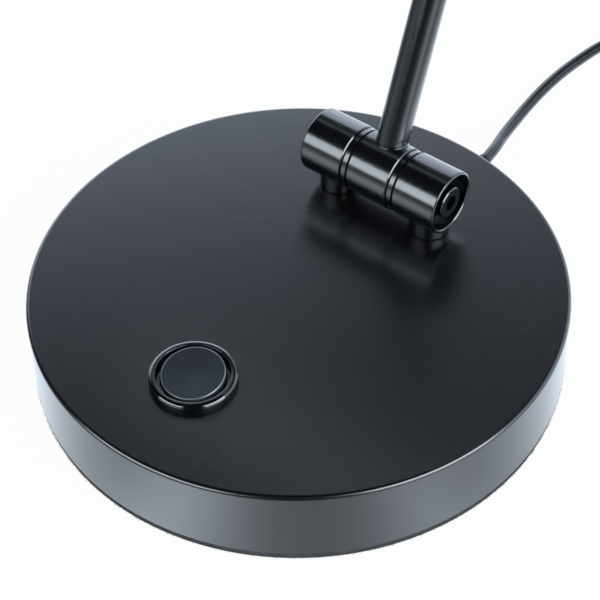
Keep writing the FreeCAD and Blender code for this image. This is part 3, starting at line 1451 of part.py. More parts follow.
def plug_body():
    """Moulded two-pin plug: a grip that flares to the face, and a tapered tail for the cord."""
    body = new_body("plug_body")
    grip = "Sheet.plug_grip_width / 2"
    face = "Sheet.plug_face_width / 2"
    plan = sketch_on(body, "XZ_Plane")
    side = [(grip, "0"), (grip, "Sheet.plug_flare_start"), (face, "Sheet.plug_flare_end"),
            (face, "Sheet.plug_length")]
    outline(plan, side + [("-" + x, z) for x, z in reversed(side)])
    pad(body, plan, "Sheet.plug_thickness", midplane=True)
    face_z = size("plug_length")
    half = size("plug_thickness") / 2
    dress(body, "Fillet", "Sheet.plug_corner",
          lambda edge, middle: abs(middle.y) < 1e-4 and middle.z < face_z - 1e-4)
    dress(body, "Fillet", "Sheet.plug_round",
          lambda edge, middle: abs(abs(middle.y) - half) < 1e-4 and middle.z < face_z - 1e-4)
    tail = sketch_on(body, "XZ_Plane")
    outline(tail, [("0", "Sheet.plug_corner"), ("Sheet.plug_relief_root", "Sheet.plug_corner"),
                   ("Sheet.plug_relief_root", "0"), ("Sheet.plug_relief_tip", "-Sheet.plug_relief_length"),
                   ("0", "-Sheet.plug_relief_length")])
    revolve(body, tail)
    at_plug(body)


def plug_pins():
    """Two round pins with rounded tips."""
    body = new_body("plug_pins")
    section = sketch_on(body, "XY_Plane", "Sheet.plug_length")
    for side in ("", "-"):
        circle(section, side + "Sheet.pin_spacing / 2", "0", "Sheet.pin_radius")
    pad(body, section, "Sheet.pin_length")
    tip_z = size("plug_length") + size("pin_length")
    dress(body, "Fillet", "Sheet.pin_round", lambda edge, middle: abs(middle.z - tip_z) < 1e-4)
    at_plug(body)


# ---------------------------------------------------------------- the whole lamp

def build_base():
    """Housing, electronics and push button."""
    base_cover()
    base_plate()
    ballast()
    felt_pad()
    plate_screws()
    button_bezel()
    button_cap()
    switch_body()
    switch_terminals()
    button_nut()
    button_spring()
    driver_board()
    board_spacers()
    small_screws()
    terminal_block()
    driver_transformer()
    driver_capacitors()
    lamp_lead()
    switch_lead()
    mains_lead()


def build_arm():
    """Base hinge, arm and head hinge."""
    friction_hinge("", at_base_hinge, "XY_Plane", True)
    hinge_posts("hinge_posts", at_base_hinge)
    stud_nuts("post_nuts", at_base_hinge, "-(Sheet.hinge_rise + Sheet.cover_top)")
    barrel_centre("arm_barrel_lower", on_arm)
    barrel_centre("arm_barrel_upper", at_arm_top)
    arm_tube()
    arm_lead()
    friction_hinge("head_", at_head_hinge, "XZ_Plane", False)
    hinge_posts("head_posts", at_head_hinge, "Sheet.shade_radius")
    saddle_washers()
    stud_nuts("head_post_nuts", at_head_hinge, "-" + NUT_SEAT)


def build_head():
    """Shade and what it holds."""
    shade()
    shade_cap("shade_cap_left", "-")
    shade_cap("shade_cap_right", "")
    cap_screws()
    led_carrier()
    led_board()
    led_chips()
    diffuser()
    head_lead()


def build_cord():
    """Strain relief, clamp, cord and plug."""
    strain_relief()
    cord_clamp()
    outer_cord()
    cord_coil()
    cord_tie()
    plug_body()
    plug_pins()


def check_document():
    """Stop if any object failed or a sub-part has no valid solid."""
    for item in doc.Objects:
        if "Invalid" in item.State or "Error" in item.State:
            raise RuntimeError("%s is %s" % (item.Name, item.State))
    for node in nodes:
        if node.Shape.isNull() or not node.Shape.isValid() or not node.Shape.Solids:
            raise RuntimeError("%s has no valid solid" % node.Label)


build_base()
build_arm()
build_head()
build_cord()
doc.recompute()
check_document()
os.makedirs("parts", exist_ok=True)
for node in nodes:
    node.Shape.exportStep(os.path.join("parts", node.Label + ".step"))
print("wrote", len(nodes), "sub-parts")
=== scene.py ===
import json
import math
import random

import bmesh
import bpy
from mathutils import Matrix, Vector


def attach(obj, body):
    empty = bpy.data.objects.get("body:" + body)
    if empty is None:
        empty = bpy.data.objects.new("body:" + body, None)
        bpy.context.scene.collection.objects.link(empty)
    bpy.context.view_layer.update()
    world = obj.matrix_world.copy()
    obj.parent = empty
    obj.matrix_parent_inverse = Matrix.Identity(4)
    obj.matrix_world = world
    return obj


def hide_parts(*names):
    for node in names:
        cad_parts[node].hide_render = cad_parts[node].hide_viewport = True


# A piano lamp on a white sweep. Metres, in the frame of the CAD model: the origin is under the
# middle of the base, the push button is towards -Y and both hinge axes lie along X.

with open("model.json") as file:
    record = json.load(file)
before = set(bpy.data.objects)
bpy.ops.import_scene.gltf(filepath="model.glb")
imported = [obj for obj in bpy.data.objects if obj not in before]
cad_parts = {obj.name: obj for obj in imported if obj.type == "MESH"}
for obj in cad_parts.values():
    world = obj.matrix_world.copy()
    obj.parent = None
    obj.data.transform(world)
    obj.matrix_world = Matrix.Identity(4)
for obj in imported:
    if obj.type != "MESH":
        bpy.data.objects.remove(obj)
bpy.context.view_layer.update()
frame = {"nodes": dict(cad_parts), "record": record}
nodes = frame["nodes"]
random.seed(7)

MM = 0.001
UP = Vector((0, 0, 1))
WHITE = (1, 1, 1, 1)
SHARP_ANGLE = math.radians(30)

# camera
CAMERA_PLACE = Vector((0.30993, -0.38164, 0.53615))
CAMERA_AIM = Vector((-0.43655, 0.53883, -0.72048))
CAMERA_UP = Vector((-0.43459, 0.57490, 0.69327))
CAMERA_LENS = 110.12

# base
BASE_RADIUS = 104 * MM
FELT_RADIUS = 103.5 * MM
FELT_HEIGHT = 2.5 * MM
BUTTON_Y = -61.8 * MM
COVER_TOP = 35 * MM
COVER_ROUND = 1.6 * MM
COVER_CHAMFER = 0.7 * MM
COVER_WALL = 3.5 * MM
COVER_INNER_ROUND = 2 * MM
COVER_EDGE = 0.15 * MM
COVER_SEGMENTS = 288
SLEEVE_HOLE = 13.7 * MM
BOSS_ANGLES = (45, 135, 225, 315)
BOSS_CIRCLE = 90 * MM
BOSS_RADIUS = 5 * MM
BOSS_BOTTOM = 11.7 * MM
BOSS_SINK = 1 * MM
PILOT_RADIUS = 2.02 * MM
PILOT_TOP = 20.8 * MM
CORD_HOLE = Vector((2.5, 104, 9)) * MM
CORD_HOLE_RADIUS = 4 * MM
# the cap's painted highlight: a lighter ring from this radius outwards, with a soft edge
CAP_HIGHLIGHT_RADIUS = 11.55 * MM
CAP_HIGHLIGHT_BLUR = 0.06 * MM

# cutters: how far they start outside the wall, and how long they are
TOOL_START = 5 * MM
TOOL_LENGTH = 15 * MM
TOOL_SEGMENTS = 96

# hinges and arm
BASE_HINGE = Vector((0, 55.3, 53)) * MM
BARREL_RADIUS = 13 * MM
TUBE_RADIUS = 6.35 * MM
POST_X = 22 * MM
STUD_HOLE = 5.3 * MM
ARM_LEAN = math.radians(22)
ARM_LENGTH = 360 * MM
HEAD_HINGE = BASE_HINGE + ARM_LENGTH * Vector((0, math.sin(ARM_LEAN), math.cos(ARM_LEAN)))

# bead of paint at the tube's foot
BEAD_RADIUS = 0.42 * MM
BEAD_GAP = 0.22 * MM
BEAD_RISE = 0.1 * MM
BEAD_STEPS = 96
BEAD_SIDES = 12

# end cap screws: each is at a Y and a Z on both ends, with its recess turned by some degrees
CAP_FACE = 240 * MM
CAP_SCREWS = ((159.44 * MM, 402.98 * MM, 20), (142.34 * MM, 409.2 * MM, 65))
SCREW_HEAD = 2.7 * MM
SCREW_RISE = 1.6 * MM
SCREW_ROUND = 0.6 * MM
SCREW_SHANK = 1.23 * MM
SCREW_LENGTH = 9 * MM
SCREW_TIP = 0.4 * MM
SCREW_SEGMENTS = 64
RECESS_ARM = 1.55 * MM
RECESS_WEB = 0.36 * MM
RECESS_DEPTH = 0.9 * MM
RECESS_START = 1 * MM

# loose fibres at the felt's edge: the three ranges are in millimetres
FIBRE_COUNT = 9000
FIBRE_HEIGHTS = (0.15, 2.4)
FIBRE_REACHES = (0.3, 1.1)
FIBRE_WIDTHS = (0.025, 0.05)
FIBRE_ROOT = 0.1 * MM
FIBRE_LOWEST = 0.03 * MM
FIBRE_HIGHEST = 3.0 * MM
FIBRE_DRIFT = 1.2
FIBRE_SWAY = 0.7
FIBRE_BEND = 0.25
FIBRE_TAPER = 0.8
FIBRE_FACES = ((0, 1, 4, 3), (1, 2, 5, 4), (2, 0, 3, 5), (3, 4, 6), (4, 5, 6), (5, 3, 6))

# cord
CORD_DIAMETER = 5 * MM
CORD_ROUTE = [
    (2.5, 126, 9), (1.8, 132, 8.5), (0.3, 138.5, 7), (-1.9, 145.5, 5), (-3.6, 153, 3.7),
    (-5, 162, 2.9), (-6.3, 173, 2.5), (-7.2, 187, 2.5), (-6.9, 203, 2.5), (-5.2, 217, 2.5),
    (-3, 230, 2.5), (1.5, 242.5, 2.5), (8.5, 253.5, 2.5), (14.2, 264.5, 2.5), (16.5, 276.5, 2.5),
]
TAIL_ROUTE = [
    (51.5, 310, 17.5), (65, 310, 16.6), (77.7, 306.4, 14.4), (88.2, 299.2, 11.6),
    (95.8, 289.2, 9.2), (99.9, 277.6, 7.6), (100.5, 265, 7),
]
COIL_CENTRE = Vector((51.5, 275, 0))
COIL_OUTER = 35
COIL_INNER = 24
COIL_LAYERS = 4
COIL_TURNS = 8.25
COIL_LAYER_STEP = 5
COIL_STEPS = 18
COIL_CLIMB = 0.16


# ---------------------------------------------------------------- camera and cord

def make_camera():
    """The camera, from the values above: it looks down at the lamp's base from the front right."""
    data = bpy.data.cameras.new("camera")
    data.lens = CAMERA_LENS
    data.sensor_width = 36
    data.clip_start = 0.01
    data.clip_end = 50
    camera = bpy.data.objects.new("camera", data)
    bpy.context.scene.collection.objects.link(camera)
    right = CAMERA_AIM.cross(CAMERA_UP).normalized()
    up = right.cross(CAMERA_AIM).normalized()
    turn = Matrix((right, up, -CAMERA_AIM.normalized())).transposed()
    camera.matrix_world = Matrix.Translation(CAMERA_PLACE) @ turn.to_4x4()
    bpy.context.scene.camera = camera


def coil_points():
    """The coil's turns: layers wound in and out by turns, each on top of the one below."""
    count = round(COIL_TURNS * COIL_STEPS)
    per_layer = count / COIL_LAYERS
    widen = 1 / math.cos(math.pi / COIL_STEPS)
    points = []
    for step in range(1, count):
        layer = min(int(step / per_layer), COIL_LAYERS - 1)
        share = step / per_layer - layer
        inwards = layer % 2 == 0
        radius = COIL_OUTER - (COIL_OUTER - COIL_INNER) * (share if inwards else 1 - share)
        height = layer
        if share > 1 - COIL_CLIMB and layer < COIL_LAYERS - 1:
            height += 0.5 * (share - 1 + COIL_CLIMB) / COIL_CLIMB
        elif share < COIL_CLIMB and layer > 0:
            height -= 0.5 * (1 - share / COIL_CLIMB)
        angle = math.pi - 2 * math.pi * step / COIL_STEPS
        points.append((COIL_CENTRE.x + radius * widen * math.cos(angle),
                       COIL_CENTRE.y + radius * widen * math.sin(angle),
                       CORD_DIAMETER / MM / 2 + COIL_LAYER_STEP * height))
    return points


def make_cord():
    """The whole mains cord as one smooth curve from the strain relief to the plug."""
    points = CORD_ROUTE + coil_points() + TAIL_ROUTE
    data = bpy.data.curves.new("mains_cord", "CURVE")
    data.dimensions = "3D"
    data.bevel_depth = 1
    data.bevel_resolution = 5
    data.resolution_u = 10
    spline = data.splines.new("NURBS")
    spline.points.add(len(points) - 1)
    for point, place in zip(spline.points, points):
        point.co = (*[value * MM for value in place], 1)
        point.radius = CORD_DIAMETER / 2
    spline.order_u = 3
    spline.use_endpoint_u = True
    cord = bpy.data.objects.new("mains_cord", data)
    bpy.context.scene.collection.objects.link(cord)
    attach(cord, "base")
    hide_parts("cord_run", "cord_coil", "cord_tail")
    return cord


make_camera()
cord = make_cord()


# ---------------------------------------------------------------- node trees

# The middle part of its range, where a noise has most of its values.
NOISE_RANGE = (0.3, 0.7)


class Tree:
    """A node tree with short ways to add nodes."""

    def __init__(self, tree):
        self.tree = tree

    def link(self, value, socket):
        self.tree.links.new(value, socket)

    def node(self, kind, inputs=None, **settings):
        """A node with its settings, and with its inputs as linked sockets or as values."""
        node = self.tree.nodes.new(kind)
        for name, value in settings.items():
            setattr(node, name, value)
        for name, value in (inputs or {}).items():
            if isinstance(value, bpy.types.NodeSocket):
                self.link(value, node.inputs[name])
            else:
                node.inputs[name].default_value = value
        return node

    def vector(self, operation, *values, number=False):
        """The result of a vector operation, as a vector or as a number."""
        node = self.node("ShaderNodeVectorMath", dict(enumerate(values)), operation=operation)
        return node.outputs["Value" if number else "Vector"]

    def map_range(self, value, source, target, kind="LINEAR"):
        inputs = {"Value": value, "From Min": source[0], "From Max": source[1],
                  "To Min": target[0], "To Max": target[1]}
        return self.node("ShaderNodeMapRange", inputs, interpolation_type=kind).outputs["Result"]

    def mix(self, share, first, second):
        """The first colour where share is 0, the second where it is 1."""
        inputs = {0: share, 6: first, 7: second}
        return self.node("ShaderNodeMix", inputs, data_type="RGBA").outputs[2]


class Shade(Tree):
    """A material with short ways to add what the materials here share."""

    def __init__(self, name, colour, roughness, metallic=0.0):
        self.material = bpy.data.materials.new(name)
        self.material.use_nodes = True
        super().__init__(self.material.node_tree)
        self.bsdf = self.tree.nodes["Principled BSDF"]
        self.set("Base Color", (*colour, 1))
        self.set("Roughness", roughness)
        self.set("Metallic", metallic)
        self.place = self.tree.nodes.new("ShaderNodeTexCoord").outputs["Object"]
        self.normal = None

    def set(self, socket, value):
        self.bsdf.inputs[socket].default_value = value
        return self

    def noise(self, scale, detail=3.0, rough=0.5, place=None):
        node = self.node("ShaderNodeTexNoise", {"Vector": place or self.place, "Scale": scale,
                                                "Detail": detail, "Roughness": rough})
        return node.outputs["Fac"]

    def stretched(self, sx, sy, sz):
        node = self.node("ShaderNodeMapping", {"Vector": self.place, "Scale": (sx, sy, sz)})
        return node.outputs["Vector"]

    def waves(self, **inputs):
        """Level bands, one above the other."""
        inputs = {name.title(): value for name, value in inputs.items()}
        node = self.node("ShaderNodeTexWave", {"Vector": self.place, **inputs}, bands_direction="Z")
        return node.outputs["Fac"]

    def colour(self, value):
        self.link(value, self.bsdf.inputs["Base Color"])

    def colours(self, value, first, second):
        """One colour where the value is low, the other where it is high."""
        ramp = self.node("ShaderNodeValToRGB", {"Fac": value})
        for stop, place, colour in zip(ramp.color_ramp.elements, NOISE_RANGE, (first, second)):
            stop.position = place
            stop.color = (*colour, 1)
        self.colour(ramp.outputs["Color"])

    def roughness(self, value, low, high):
        self.link(self.map_range(value, NOISE_RANGE, (low, high)), self.bsdf.inputs["Roughness"])

    def bump(self, value, strength, distance):
        """A bump of the surface, on top of the bumps added before it."""
        inputs = {"Height": value, "Strength": strength, "Distance": distance}
        if self.normal is not None:
            inputs["Normal"] = self.normal
        self.normal = self.node("ShaderNodeBump", inputs).outputs["Normal"]
        self.link(self.normal, self.bsdf.inputs["Normal"])

    def radius_from(self, x, y):
        """The distance of a point from an upright axis."""
        shifted = self.vector("ADD", self.place, (-x, -y, 0))
        flat = self.vector("MULTIPLY", shifted, (1, 1, 0))
        return self.vector("LENGTH", flat, number=True)


# ---------------------------------------------------------------- materials

def scaled(colour, factor):
    """A colour made darker or brighter, up to white."""
    return tuple(min(1, c * factor) for c in colour)


def black_paint(name, roughness, grain, peel):
    """Black paint over metal: a shallow orange peel, and a fine grain where it has one."""
    shade = Shade(name, (0.0015, 0.0019, 0.003), roughness)
    shade.set("Specular IOR Level", 1.0).set("Coat Weight", 1.0).set("Coat Roughness", roughness)
    shade.colours(shade.noise(90, 4), (0.001, 0.0014, 0.0023), (0.0019, 0.0024, 0.0037))
    shade.roughness(shade.noise(400, 3), roughness * 0.92, roughness * 1.1)
    shade.bump(shade.noise(420, 1), peel, 0.0004)
    if grain:
        shade.bump(shade.noise(1300, 1), grain, 0.0001)
    return shade.material


def metal(name, colour, roughness, scratch=0.05):
    """Bare metal with fine drawn lines."""
    shade = Shade(name, colour, roughness, 1.0)
    lines = shade.noise(900, 3, 0.6, shade.stretched(0.08, 1, 1))
    shade.colours(lines, scaled(colour, 0.86), scaled(colour, 1.08))
    shade.roughness(lines, roughness * 0.8, roughness * 1.25)
    shade.bump(lines, scratch, 0.0001)
    return shade.material


def plastic(name, colour, roughness, grain=0.15, scale=1800):
    """Moulded plastic with a slight grain."""
    shade = Shade(name, colour, roughness)
    shade.colours(shade.noise(120, 3), scaled(colour, 0.85), scaled(colour, 1.1))
    shade.roughness(shade.noise(700, 2), roughness * 0.88, roughness * 1.15)
    shade.bump(shade.noise(scale, 2), grain, 0.0001)
    return shade.material


def felt_material():
    """Black felt: matted fibres with a soft sheen."""
    shade = Shade("felt", (0.012, 0.012, 0.013), 0.95)
    shade.set("Sheen Weight", 0.35).set("Sheen Roughness", 0.5)
    fibres = shade.noise(2600, 6, 0.75)
    shade.colours(fibres, (0.006, 0.006, 0.007), (0.03, 0.03, 0.032))
    shade.bump(fibres, 0.9, 0.0004)
    return shade.material


def spun_cap():
    """Dark anodised metal turned on a lathe: fine rings round the button, and a painted highlight: a
    lighter ring at its outer edge.
    """
    shade = Shade("spun_cap", (0.1, 0.108, 0.122), 0.38, 0.8)
    radius = shade.radius_from(0, BUTTON_Y)
    rings = shade.node("ShaderNodeTexNoise", {"W": radius, "Scale": 5200, "Detail": 3.0},
                       noise_dimensions="1D").outputs["Fac"]
    turned = shade.mix(rings, (0.052, 0.058, 0.067, 1), (0.098, 0.107, 0.12, 1))
    # Painted highlight: a lighter ring at the cap's outer edge, standing in for its shine.
    highlight_ring = shade.map_range(radius, (CAP_HIGHLIGHT_RADIUS - CAP_HIGHLIGHT_BLUR, CAP_HIGHLIGHT_RADIUS + CAP_HIGHLIGHT_BLUR), (0, 1))
    shade.colour(shade.mix(highlight_ring, turned, (0.3, 0.32, 0.35, 1)))
    shade.roughness(rings, 0.32, 0.46)
    shade.bump(rings, 0.35, 0.00006)
    return shade.material


def cord_material():
    """Smooth PVC sheath with a faint unevenness."""
    shade = Shade("cord_sheath", (0.022, 0.023, 0.025), 0.18)
    shade.set("Specular IOR Level", 0.6)
    shade.colours(shade.noise(60, 4), (0.018, 0.019, 0.021), (0.028, 0.029, 0.032))
    shade.roughness(shade.noise(500, 3), 0.15, 0.22)
    shade.bump(shade.noise(700, 2), 0.06, 0.0002)
    return shade.material


def tie_material():
    """Woven strap: a fine ribbed weave."""
    shade = Shade("tie_weave", (0.02, 0.02, 0.022), 0.8)
    shade.set("Sheen Weight", 0.3)
    weave = shade.waves(scale=900.0, distortion=1.5, detail=2.0)
    shade.colours(weave, (0.01, 0.01, 0.011), (0.035, 0.035, 0.038))
    shade.bump(weave, 0.6, 0.0002)
    return shade.material


def iron_material():
    """Cast iron with a sandy skin."""
    shade = Shade("cast_iron", (0.1, 0.1, 0.1), 0.7, 0.6)
    shade.colours(shade.noise(70, 5), (0.06, 0.058, 0.056), (0.14, 0.135, 0.13))
    shade.bump(shade.noise(700, 5, 0.7), 0.6, 0.0005)
    return shade.material


def board_material():
    """Circuit board: green mask over faint copper tracks."""
    shade = Shade("circuit_board", (0.02, 0.15, 0.07), 0.35)
    bricks = shade.node("ShaderNodeTexBrick", {
        "Vector": shade.place, "Scale": 260.0, "Mortar Size": 0.08,
        "Color1": (0.015, 0.13, 0.06, 1), "Color2": (0.02, 0.16, 0.075, 1),
        "Mortar": (0.05, 0.26, 0.11, 1)})
    shade.colour(bricks.outputs["Color"])
    shade.bump(bricks.outputs["Fac"], 0.3, 0.0001)
    return shade.material


def winding_material():
    """Varnished copper winding under tape."""
    shade = Shade("winding", (0.6, 0.42, 0.08), 0.4)
    turns = shade.waves(scale=600.0, distortion=0.4)
    shade.colours(turns, (0.42, 0.28, 0.05), (0.68, 0.5, 0.12))
    shade.bump(turns, 0.4, 0.0002)
    return shade.material


def opal_material():
    """Opal diffuser sheet with a fine frosting."""
    shade = Shade("opal_sheet", (0.6, 0.6, 0.58), 0.45)
    shade.set("Subsurface Weight", 0.25).set("Subsurface Radius", (0.002, 0.002, 0.002))
    shade.colours(shade.noise(150, 3), (0.57, 0.57, 0.55), (0.63, 0.63, 0.61))
    shade.roughness(shade.noise(900, 2), 0.4, 0.52)
    shade.bump(shade.noise(2200, 2), 0.12, 0.0001)
    return shade.material


MATERIALS = {
    "base_black": black_paint("base_paint", roughness=0.23, grain=0.15, peel=0.05),
    "gloss_black": black_paint("gloss_paint", roughness=0.2, grain=0.0, peel=0.06),
    "washer_black": plastic("washer_plastic", (0.012, 0.012, 0.012), 0.5),
    "bezel_black": black_paint("bezel_paint", roughness=0.09, grain=0.0, peel=0.02),
    "cap_grey": spun_cap(),
    "bright_steel": metal("nickel_steel", (0.72, 0.72, 0.74), 0.16),
    "black_oxide": black_paint("black_oxide", roughness=0.18, grain=0.0, peel=0.02),
    "plain_steel": metal("plain_steel", (0.5, 0.5, 0.51), 0.34, scratch=0.12),
    "iron": iron_material(),
    "felt": felt_material(),
    "brass": metal("brass", (0.72, 0.52, 0.22), 0.25),
    "black_plastic": plastic("black_plastic", (0.02, 0.02, 0.021), 0.5),
    "board_green": board_material(),
    "terminal_green": plastic("terminal_plastic", (0.06, 0.34, 0.14), 0.42),
    "winding": winding_material(),
    "can": metal("drawn_aluminium", (0.7, 0.7, 0.72), 0.3),
    "lead_grey": plastic("lead_sheath", (0.22, 0.22, 0.23), 0.45, grain=0.08),
    "cord_black": cord_material(),
    "moulded_black": plastic("moulded_rubber", (0.02, 0.02, 0.021), 0.42, grain=0.25, scale=1400),
    "tie_black": tie_material(),
    "shade_black": black_paint("shade_paint", roughness=0.3, grain=0.08, peel=0.04),
    "board_white": plastic("white_board", (0.8, 0.8, 0.79), 0.35),
    "chip_yellow": plastic("chip_phosphor", (0.85, 0.68, 0.12), 0.3),
    "opal": opal_material(),
}


def dress_nodes():
    """Every CAD node and the cord take the material of their slot."""
    for entry in frame["record"]["subparts"]:
        obj = nodes[entry["node"]]
        obj.data.materials.clear()
        obj.data.materials.append(MATERIALS[entry["material_slot"]])
    cord.data.materials.append(MATERIALS["cord_black"])


dress_nodes()


# ---------------------------------------------------------------- mesh helpers

def add_piece(name, body, mesh, slot):
    """A new piece in the row frame that rides on a body."""
    obj = bpy.data.objects.new(name, mesh)
    bpy.context.scene.collection.objects.link(obj)
    mesh.materials.append(MATERIALS[slot])
    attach(obj, body)
    return obj


def finished(shape, name):
    """A mesh made of a bmesh, which is freed."""
    mesh = bpy.data.meshes.new(name)
    shape.to_mesh(mesh)
    shape.free()
    return mesh


def around(count):
    """Evenly spaced angles round a full turn."""
    return [2 * math.pi * k / count for k in range(count)]


def arc(centre, radius, first, last, steps):
    """Profile points on an arc between two angles in degrees from the radius direction."""
    turns = [math.radians(first + (last - first) * k / steps) for k in range(steps + 1)]
    return [(centre[0] + radius * math.cos(turn), centre[1] + radius * math.sin(turn))
            for turn in turns]


def lathe(name, profile, segments):
    """A profile turned about Z: pairs of radius and height, with the first and last on the axis."""
    shape = bmesh.new()
    rings = []
    for radius, height in profile:
        angles = around(segments) if radius else [0]
        rings.append([shape.verts.new((radius * math.cos(a), radius * math.sin(a), height))
                      for a in angles])
    for first, second in zip(rings, rings[1:]):
        for k in range(segments):
            corners = [first[k % len(first)], first[(k + 1) % len(first)],
                       second[(k + 1) % len(second)], second[k % len(second)]]
            shape.faces.new(list(dict.fromkeys(corners)))
    shape.normal_update()
    return finished(shape, name)


def cylinder(place, axis, radius, length):
    """A round cutter or boss from a place along an axis."""
    shape = bmesh.new()
    bmesh.ops.create_cone(shape, cap_ends=True, segments=TOOL_SEGMENTS, radius1=radius,
                          radius2=radius, depth=length)
    turn = axis.to_track_quat("Z", "Y").to_matrix().to_4x4()
    middle = Vector(place) + axis.normalized() * length / 2
    shape.transform(Matrix.Translation(middle) @ turn)
    return finished(shape, "tool")


def carved(mesh, tools):
    """The mesh with each tool, a pair of operation and mesh, joined to it or cut from it."""
    scene = bpy.context.scene
    body = bpy.data.objects.new("carved", mesh)
    scene.collection.objects.link(body)
    helpers = [body]
    for operation, tool in tools:
        helper = bpy.data.objects.new("tool", tool)
        scene.collection.objects.link(helper)
        helpers.append(helper)
        cut = body.modifiers.new("cut", "BOOLEAN")
        cut.operation = operation
        cut.solver = "EXACT"
        cut.object = helper
    bpy.context.view_layer.update()
    result = bpy.data.meshes.new_from_object(
        body.evaluated_get(bpy.context.evaluated_depsgraph_get()))
    for helper in helpers:
        bpy.data.objects.remove(helper)
    return result


def smooth(mesh):
    """Smooth shading, with sharp edges kept crisp."""
    for polygon in mesh.polygons:
        polygon.use_smooth = True
    mesh.set_sharp_from_angle(angle=SHARP_ANGLE)
    return mesh


# ---------------------------------------------------------------- detail pieces

def cover_profile(ceiling):
    """Half the cover's section: top, crown, wall and foot, then back along the inside."""
    inner = BASE_RADIUS - COVER_WALL
    crown = arc((BASE_RADIUS - COVER_ROUND, COVER_TOP - COVER_ROUND), COVER_ROUND, 90, 0, 14)
    hollow = arc((inner - COVER_INNER_ROUND, ceiling - COVER_INNER_ROUND), COVER_INNER_ROUND, 0, 90, 8)
    chamfer_top = FELT_HEIGHT + COVER_CHAMFER
    top = [(0, COVER_TOP), (BASE_RADIUS / 2, COVER_TOP), (crown[0][0] - COVER_EDGE, COVER_TOP)]
    wall = [(BASE_RADIUS, crown[-1][1] - COVER_EDGE), (BASE_RADIUS, chamfer_top + COVER_EDGE),
            (BASE_RADIUS, chamfer_top)]
    foot = [(BASE_RADIUS - COVER_CHAMFER, FELT_HEIGHT), (inner, FELT_HEIGHT)]
    return top + crown + wall + foot + hollow + [(0, ceiling)]


def base_cover():
    """The turned cover: a fine skin with its fillet and chamfer, its bosses and its holes."""
    ceiling = COVER_TOP - COVER_WALL
    tools = []
    for angle in BOSS_ANGLES:
        turn = math.radians(angle)
        x = BOSS_CIRCLE * math.cos(turn)
        y = BOSS_CIRCLE * math.sin(turn)
        boss_height = ceiling - BOSS_BOTTOM + BOSS_SINK
        tools.append(("UNION", cylinder((x, y, BOSS_BOTTOM), UP, BOSS_RADIUS, boss_height)))
        below = BOSS_BOTTOM - TOOL_START
        tools.append(("DIFFERENCE", cylinder((x, y, below), UP, PILOT_RADIUS, PILOT_TOP - below)))
    for x, y, radius in ((0, BUTTON_Y, SLEEVE_HOLE), (-POST_X, BASE_HINGE.y, STUD_HOLE),
                         (POST_X, BASE_HINGE.y, STUD_HOLE)):
        below = ceiling - TOOL_START
        tools.append(("DIFFERENCE", cylinder((x, y, below), UP, radius, TOOL_LENGTH)))
    outwards = Vector((0, 1, 0))
    inside = CORD_HOLE - outwards * (TOOL_LENGTH - TOOL_START)
    tools.append(("DIFFERENCE", cylinder(inside, outwards, CORD_HOLE_RADIUS, TOOL_LENGTH)))
    blank = lathe("base_cover_skin", cover_profile(ceiling), COVER_SEGMENTS)
    cover = add_piece("base_cover_skin", "base", smooth(carved(blank, tools)), "base_black")
    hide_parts("base_cover")


def foot_bead():
    """The bead of paint that fills the corner where the tube enters the turning barrel."""
    along = (HEAD_HINGE - BASE_HINGE).normalized()
    across = Vector((1, 0, 0))
    back = along.cross(across)
    reach = TUBE_RADIUS + BEAD_GAP
    centres = []
    for angle in around(BEAD_STEPS):
        side = back * math.sin(angle) * reach
        rise = math.sqrt(BARREL_RADIUS ** 2 - side.length ** 2) + BEAD_RISE
        centres.append(BASE_HINGE + across * math.cos(angle) * reach + side + along * rise)
    shape = bmesh.new()
    rings = []
    for k, centre in enumerate(centres):
        tangent = (centres[(k + 1) % BEAD_STEPS] - centres[k - 1]).normalized()
        first = tangent.cross(along).normalized()
        second = tangent.cross(first)
        rings.append([shape.verts.new(centre + (first * math.cos(t) + second * math.sin(t)) * BEAD_RADIUS)
                      for t in around(BEAD_SIDES)])
    for k, here in enumerate(rings):
        there = rings[(k + 1) % BEAD_STEPS]
        for j in range(BEAD_SIDES):
            after = (j + 1) % BEAD_SIDES
            shape.faces.new((here[j], here[after], there[after], there[j]))
    bmesh.ops.recalc_face_normals(shape, faces=shape.faces)
    add_piece("foot_bead", "arm", smooth(finished(shape, "foot_bead")), "gloss_black")


def screw_profile():
    """Half the section of a pan-head screw, from its crown to its tip."""
    edge = arc((SCREW_HEAD - SCREW_ROUND, SCREW_RISE - SCREW_ROUND), SCREW_ROUND, 90, 0, 8)
    return [(0, SCREW_RISE)] + edge + [
        (SCREW_HEAD, 0), (SCREW_SHANK, 0), (SCREW_SHANK, SCREW_TIP - SCREW_LENGTH),
        (SCREW_SHANK - SCREW_TIP, -SCREW_LENGTH), (0, -SCREW_LENGTH)]


def add_cross(shape, place):
    """A cross-shaped cutter in a screw's head, added to a bmesh at the screw's place."""
    arm = RECESS_ARM
    web = RECESS_WEB
    outline = [(arm, -web), (arm, web), (web, web), (web, arm), (-web, arm), (-web, web), (-arm, web),
               (-arm, -web), (-web, -web), (-web, -arm), (web, -arm), (web, -web)]
    low, high = [[shape.verts.new(place @ Vector((x, y, height))) for x, y in outline]
                 for height in (SCREW_RISE - RECESS_DEPTH, SCREW_RISE + RECESS_START)]
    shape.faces.new(low[::-1])
    shape.faces.new(high)
    for k in range(len(outline)):
        after = (k + 1) % len(outline)
        shape.faces.new((low[k], low[after], high[after], high[k]))


